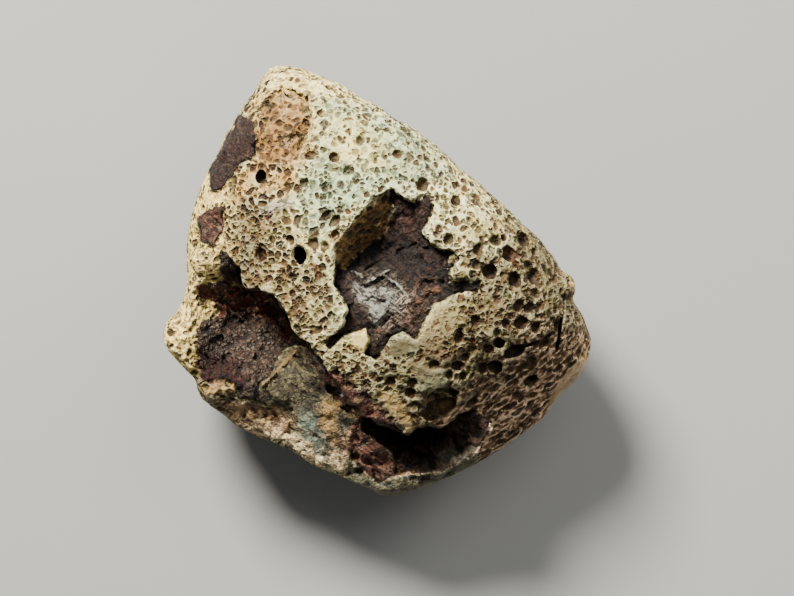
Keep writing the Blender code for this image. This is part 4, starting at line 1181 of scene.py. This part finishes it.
def rind_colour(n, p):
    """Pitted rind: ridges, the sides of cells, and floors that darken with depth, partly as painted shade."""
    side = p.coarse_slope * n.range(p.coarse_deep, 0.0, 0.8, 0.45, 1.0)
    side = n.larger(side, p.small_slope * n.range(p.small_deep, 0.2, 1.0, 0.2, 0.8))
    calm = n.range(p.broad, 0.36, 0.60) * (0.5 - p.busy * 0.5)
    side = side * p.rind * (1.0 - p.bright * 0.6) * (1.0 - calm)
    steep = p.depth + n.range(p.deep, 0.16, 0.42, 0.0, 0.12)
    ridge = ridge_colour(n, p)
    shallow = shallow_colour(n, p)
    return n.cover(
        ridge,
        (n.larger(side, n.range(p.depth, 0.0, 0.17)), shallow),
        (n.range(steep, 0.15, 0.36) * n.range(p.depth, 0.0, 0.10), deep_colour(n, p)),
        # Painted shade: the deepest places nearly black.
        (n.range(p.depth, 0.36, 0.72, 0.0, 0.8), (24, 16, 8)),
        (n.spots(0.9, 0.50, 0.68, 0.55, 0.6), shallow),
        # The painted lift: darker stone, with painted shade in the bowl above the cave.
        (p.lowered, (0.42, 0.36, 0.30, 1.0), "MULTIPLY"),
        # Painted shade in broad hollows.
        (n.range(p.hollow, 0.2, 0.9, 0.0, 0.3), (46, 35, 18)),
        # Painted highlight on crests.
        (n.range(p.bulge, 0.25, 1.0, 0.0, 0.35), n.mix(0.3, ridge, (244, 234, 184))),
        # The star wall and the bowl, in their partly painted shade.
        (p.wall * 0.95, wall_colour(n, p)))


def moss_colour(n, p):
    """The lower left: mottled grey-green, cream and brown, with few pits."""
    return n.cover(
        (44, 34, 20),
        (n.spots(1.8, 0.36, 0.62, 1.0, 0.6), (58, 54, 38)),
        (n.spots(0.7, 0.50, 0.64, 0.8, 0.7), (104, 94, 64)),
        (n.spots(0.45, 0.47, 0.34, 0.8, 0.7), (28, 19, 10)),
        (p.low * n.spots(1.1, 0.32, 0.52, 1.0, 0.65), (174, 172, 132)),
        # Painted shade in creases and a painted highlight on crests.
        (n.range(p.bulge, -0.1, -0.8, 0.0, 0.7), (28, 20, 12)),
        (n.range(p.bulge, 0.2, 1.0, 0.0, 0.35), (120, 106, 70)),
        (n.spots(0.24, 0.47, 0.37, 0.75, 0.6), (30, 22, 13)),
        (p.teal * n.spots(1.25, 0.50, 0.60, 0.85, 0.7), (34, 19, 12)),
        (p.teal * n.spots(0.8, 0.58, 0.66, 0.6, 0.7), (112, 122, 108)),
        (p.knob * 0.5, (132, 124, 90)),
        (p.raised, (3.6, 2.8, 2.7, 1.0), "MULTIPLY"))


def rock_colour(n, p):
    """Bare rock: brown and maroon; painted highlight where it stands up, near-black painted shade in cracks."""
    hairs = n.larger(n.range(p.needles, 0.53, 0.60), n.range(p.crossed, 0.54, 0.61))
    gem = n.chips(0.7, 3.0)
    gem_colour = n.mix(n.range(gem, 0.85, 0.87), (128, 100, 68), (96, 42, 16))
    return n.cover(
        (33, 23, 14),
        (n.spots(2.4, 0.35, 0.65), (44, 32, 21)),
        (n.spots(1.7, 0.48, 0.62, 1.0, 0.6), (54, 24, 13)),
        (n.range(n.chips(0.6, 1.0), 0.45, 0.9, 0.0, 0.6), (64, 44, 30)),
        (n.range(p.streaks, 0.53, 0.66, 0.0, 0.75), (98, 76, 56)),
        (n.spots(0.45, 0.53, 0.42, 0.92, 0.7), (10, 7, 4)),
        (p.speck * n.spots(0.22, 0.54, 0.66, 0.8, 0.65), (120, 106, 88)),
        # Painted highlight on crests and painted shade in creases.
        (n.range(p.bulge, 0.2, 1.0, 0.0, 0.35), (78, 56, 38)),
        (n.range(p.bulge, 0.0, -0.9, 0.0, 0.85), (12, 8, 4)),
        (p.knob * (p.speck * 0.55 + 0.12), (126, 114, 98)),
        (n.range(p.needles, 0.54, 0.62, 0.0, 0.55), (88, 62, 44)),
        (n.range(p.crossed, 0.47, 0.40, 0.0, 0.9), (12, 8, 5)),
        (p.frost * hairs * 0.75, (130, 122, 108)),
        (p.red * n.spots(1.0, 0.36, 0.58, 0.85, 0.6), (66, 24, 13)),
        (p.red * n.spots(1.1, 0.56, 0.65, 1.0, 0.75) * 0.7, (142, 116, 98)),
        (p.red * n.spots(1.3, 0.47, 0.38, 0.85, 0.7), (18, 9, 6)),
        # The painted lift: the rock's own tones, with painted light under the ledge and in the star's upper
        # arm, and painted shade in the star's pocket and along its rim.
        (p.raised, (2.6, 2.4, 2.2, 1.0), "MULTIPLY"),
        (p.lowered, (0.30, 0.26, 0.20, 1.0), "MULTIPLY"),
        (p.bits * n.range(gem, 0.66, 0.68, 0.0, 0.85), gem_colour))


def stained(n, p, skin):
    """Over the skin: a pale film, stains, the white crust, the flaky shard and the honey chalcedony."""
    fibres = n.noise(0.30, 3.0, 0.65, (-35.0, 2.4))
    crust = n.mix(n.range(fibres, 0.40, 0.58), (52, 43, 34), (142, 142, 128))
    edge = p.white + (n.noise(0.9, 3.0, 0.75) - 0.5) * 3.0
    flake = n.mix(n.range(p.plates, 0.47, 0.53), (30, 21, 15), (160, 146, 124))
    bands = n.noise(0.8, 2.0, 0.5, (50.0, 2.8))
    wax = n.mix(n.range(bands, 0.4, 0.6), (176, 146, 88), (136, 104, 58))
    return n.cover(
        skin,
        (p.film * n.range(p.medium, 0.3, 0.6, 0.0, 0.7), (92, 88, 70)),
        (p.rust * n.spots(0.7, 0.42, 0.60, 0.8), (46, 13, 6)),
        (p.blue * n.range(p.medium, 0.35, 0.6, 0.0, 0.8), (104, 124, 108)),
        (n.range(edge, 0.35, 0.85, 0.0, 0.92) * n.range(p.white, 0.05, 0.3), crust),
        (p.shard * 0.95, flake),
        (p.honey * 0.95, wax),
        (n.range(p.grit, 0.60, 0.75, 0.0, 0.3), (70, 52, 28)))


def relief(n, p):
    """Heights in millimetres of what is too fine for the mesh."""
    rock = n.noise(0.5, 3.0, 0.7) + p.streaks * 0.6 + n.chips(0.55, 2.0) * 0.8 + (p.needles + p.crossed) * 0.5
    rock = (rock + p.knob * (p.speck * 0.45 + 0.1)) * (p.matrix * 0.45 + p.mottle * 0.40)
    knobs = n.noise(0.55, 3.0, 0.6) * (p.scoop * 0.25)
    grain = (p.fine * 0.08 + p.grit * 0.035) * (1.0 - p.smooth * 0.7) + knobs + p.plates * (p.shard * 0.3)
    return rock + grain - p.tiny * 0.85


def stone():
    """The stone's material: where its colours lie is painted on the mesh, and the rest is noises and cells."""
    n = Nodes("pitted_agate")
    p = n.painted(
        "pit chance deep bulge hollow matrix smooth mottle wall flank shade dark busy low lift bright mint tan "
        "teal blue ochre rust red white honey speck bits shard film scoop frost")
    p.raised = n.larger(p.lift, 0.0)
    p.lowered = n.larger(p.lift * -1.0, 0.0)
    p.broad = n.noise(5.0, 2.0)
    p.medium = n.noise(1.3)
    p.fine = n.noise(0.35)
    p.grit = n.noise(0.13, 2.0)
    p.streaks = n.noise(0.30, 3.0, 0.65, (38.0, 2.6))
    p.needles = n.noise(0.20, 3.0, 0.6, (40.0, 7.0))
    p.crossed = n.noise(0.22, 3.0, 0.6, (-36.0, 7.0))
    p.plates = n.noise(0.36, 3.0, 0.6, (24.0, 4.5))
    small_cells(n, p)

    ragged = (p.fine - 0.5) * 0.7
    skin = n.cover(
        rind_colour(n, p),
        (n.range(p.mottle + ragged, 0.3, 0.6), moss_colour(n, p)),
        (p.ochre * n.spots(0.8, 0.3, 0.55, 0.85), (158, 126, 74)),
        (n.range(p.matrix + ragged, 0.35, 0.62), rock_colour(n, p)))
    dull = n.range(p.fine, 0.3, 0.7, 0.62, 0.85) - p.honey * 0.42
    glint = p.matrix * n.range(n.noise(0.22, 1.0), 0.58, 0.64, 0.0, 0.5)
    return n.shade({
        "Base Color": stained(n, p, skin),
        "Roughness": n.math("SUBTRACT", dull, glint, True),
        "Specular IOR Level": 0.3,
        "Normal": n.node("Bump", {"Strength": 1.0, "Distance": 0.001, "Height": relief(n, p)}),
    })


# ---------------------------------------------------------------- scene
def pale_floor():
    n = Nodes("pale_floor")
    grey = n.mix(n.range(n.noise(60.0, 2.0), 0.3, 0.7), (0.26, 0.256, 0.24, 1.0), (0.27, 0.266, 0.25, 1.0))
    bpy.ops.mesh.primitive_plane_add(size=2.4, location=(0.0, 0.0, 0.0))
    floor = bpy.context.object
    floor.name = "pale_floor"
    floor.data.materials.append(n.shade({"Base Color": grey, "Roughness": 0.9}))


def light():
    """Soft daylight all round, a window at the upper left, a low light at the upper right, a wide one above."""
    world = bpy.data.worlds.new("soft_daylight")
    bpy.context.scene.world = world
    world.use_nodes = True
    back = world.node_tree.nodes["Background"]
    back.inputs["Color"].default_value = (0.92, 0.96, 1.0, 1.0)
    back.inputs["Strength"].default_value = 0.22

    # Name, place and width in metres, power in watts, colour.
    for name, place, size, power, lamp_colour in (
            ("window", (-0.15, 0.28, 0.33), 0.14, 9.2, (1.0, 0.97, 0.92)),
            ("edge", (0.30, 0.32, 0.07), 0.16, 2.2, (1.0, 0.97, 0.90)),
            ("sky", (0.16, 0.20, 0.42), 0.30, 0.9, (0.94, 0.97, 1.0))):
        lamp = bpy.data.lights.new(name, "AREA")
        lamp.shape = "DISK"
        lamp.size = size
        lamp.energy = power
        lamp.color = lamp_colour
        item = bpy.data.objects.new(name, lamp)
        item.location = place
        beam = Vector(np.array(LIGHT_AIM) - np.array(place))
        item.rotation_euler = beam.to_track_quat("-Z", "Y").to_euler()
        bpy.context.scene.collection.objects.link(item)


def camera():
    """Straight down from far off, so that one pixel is as wide as in the photo."""
    data = bpy.data.cameras.new("camera")
    data.lens = 180.0
    data.sensor_width = 36.0
    data.clip_start = 0.01
    data.clip_end = 10.0
    width = PHOTO_PIXELS * STONE_WIDTH / STONE_PIXELS * 0.001
    item = bpy.data.objects.new("camera", data)
    item.location = (CAMERA_AIM[0], CAMERA_AIM[1], CAMERA_AIM[2] + width * data.lens / data.sensor_width)
    bpy.context.scene.collection.objects.link(item)
    bpy.context.scene.camera = item


def main():
    mesh, *fields = dressed_mesh()
    paint(mesh, *fields)
    mesh.name = "geode_skin"
    mesh.shade_smooth()
    mesh.materials.clear()
    mesh.materials.append(stone())
    piece = bpy.data.objects.new("geode_skin", mesh)
    bpy.context.scene.collection.objects.link(piece)
    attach(piece, "root")
    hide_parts(NODE)
    pale_floor()
    light()
    camera()


main()
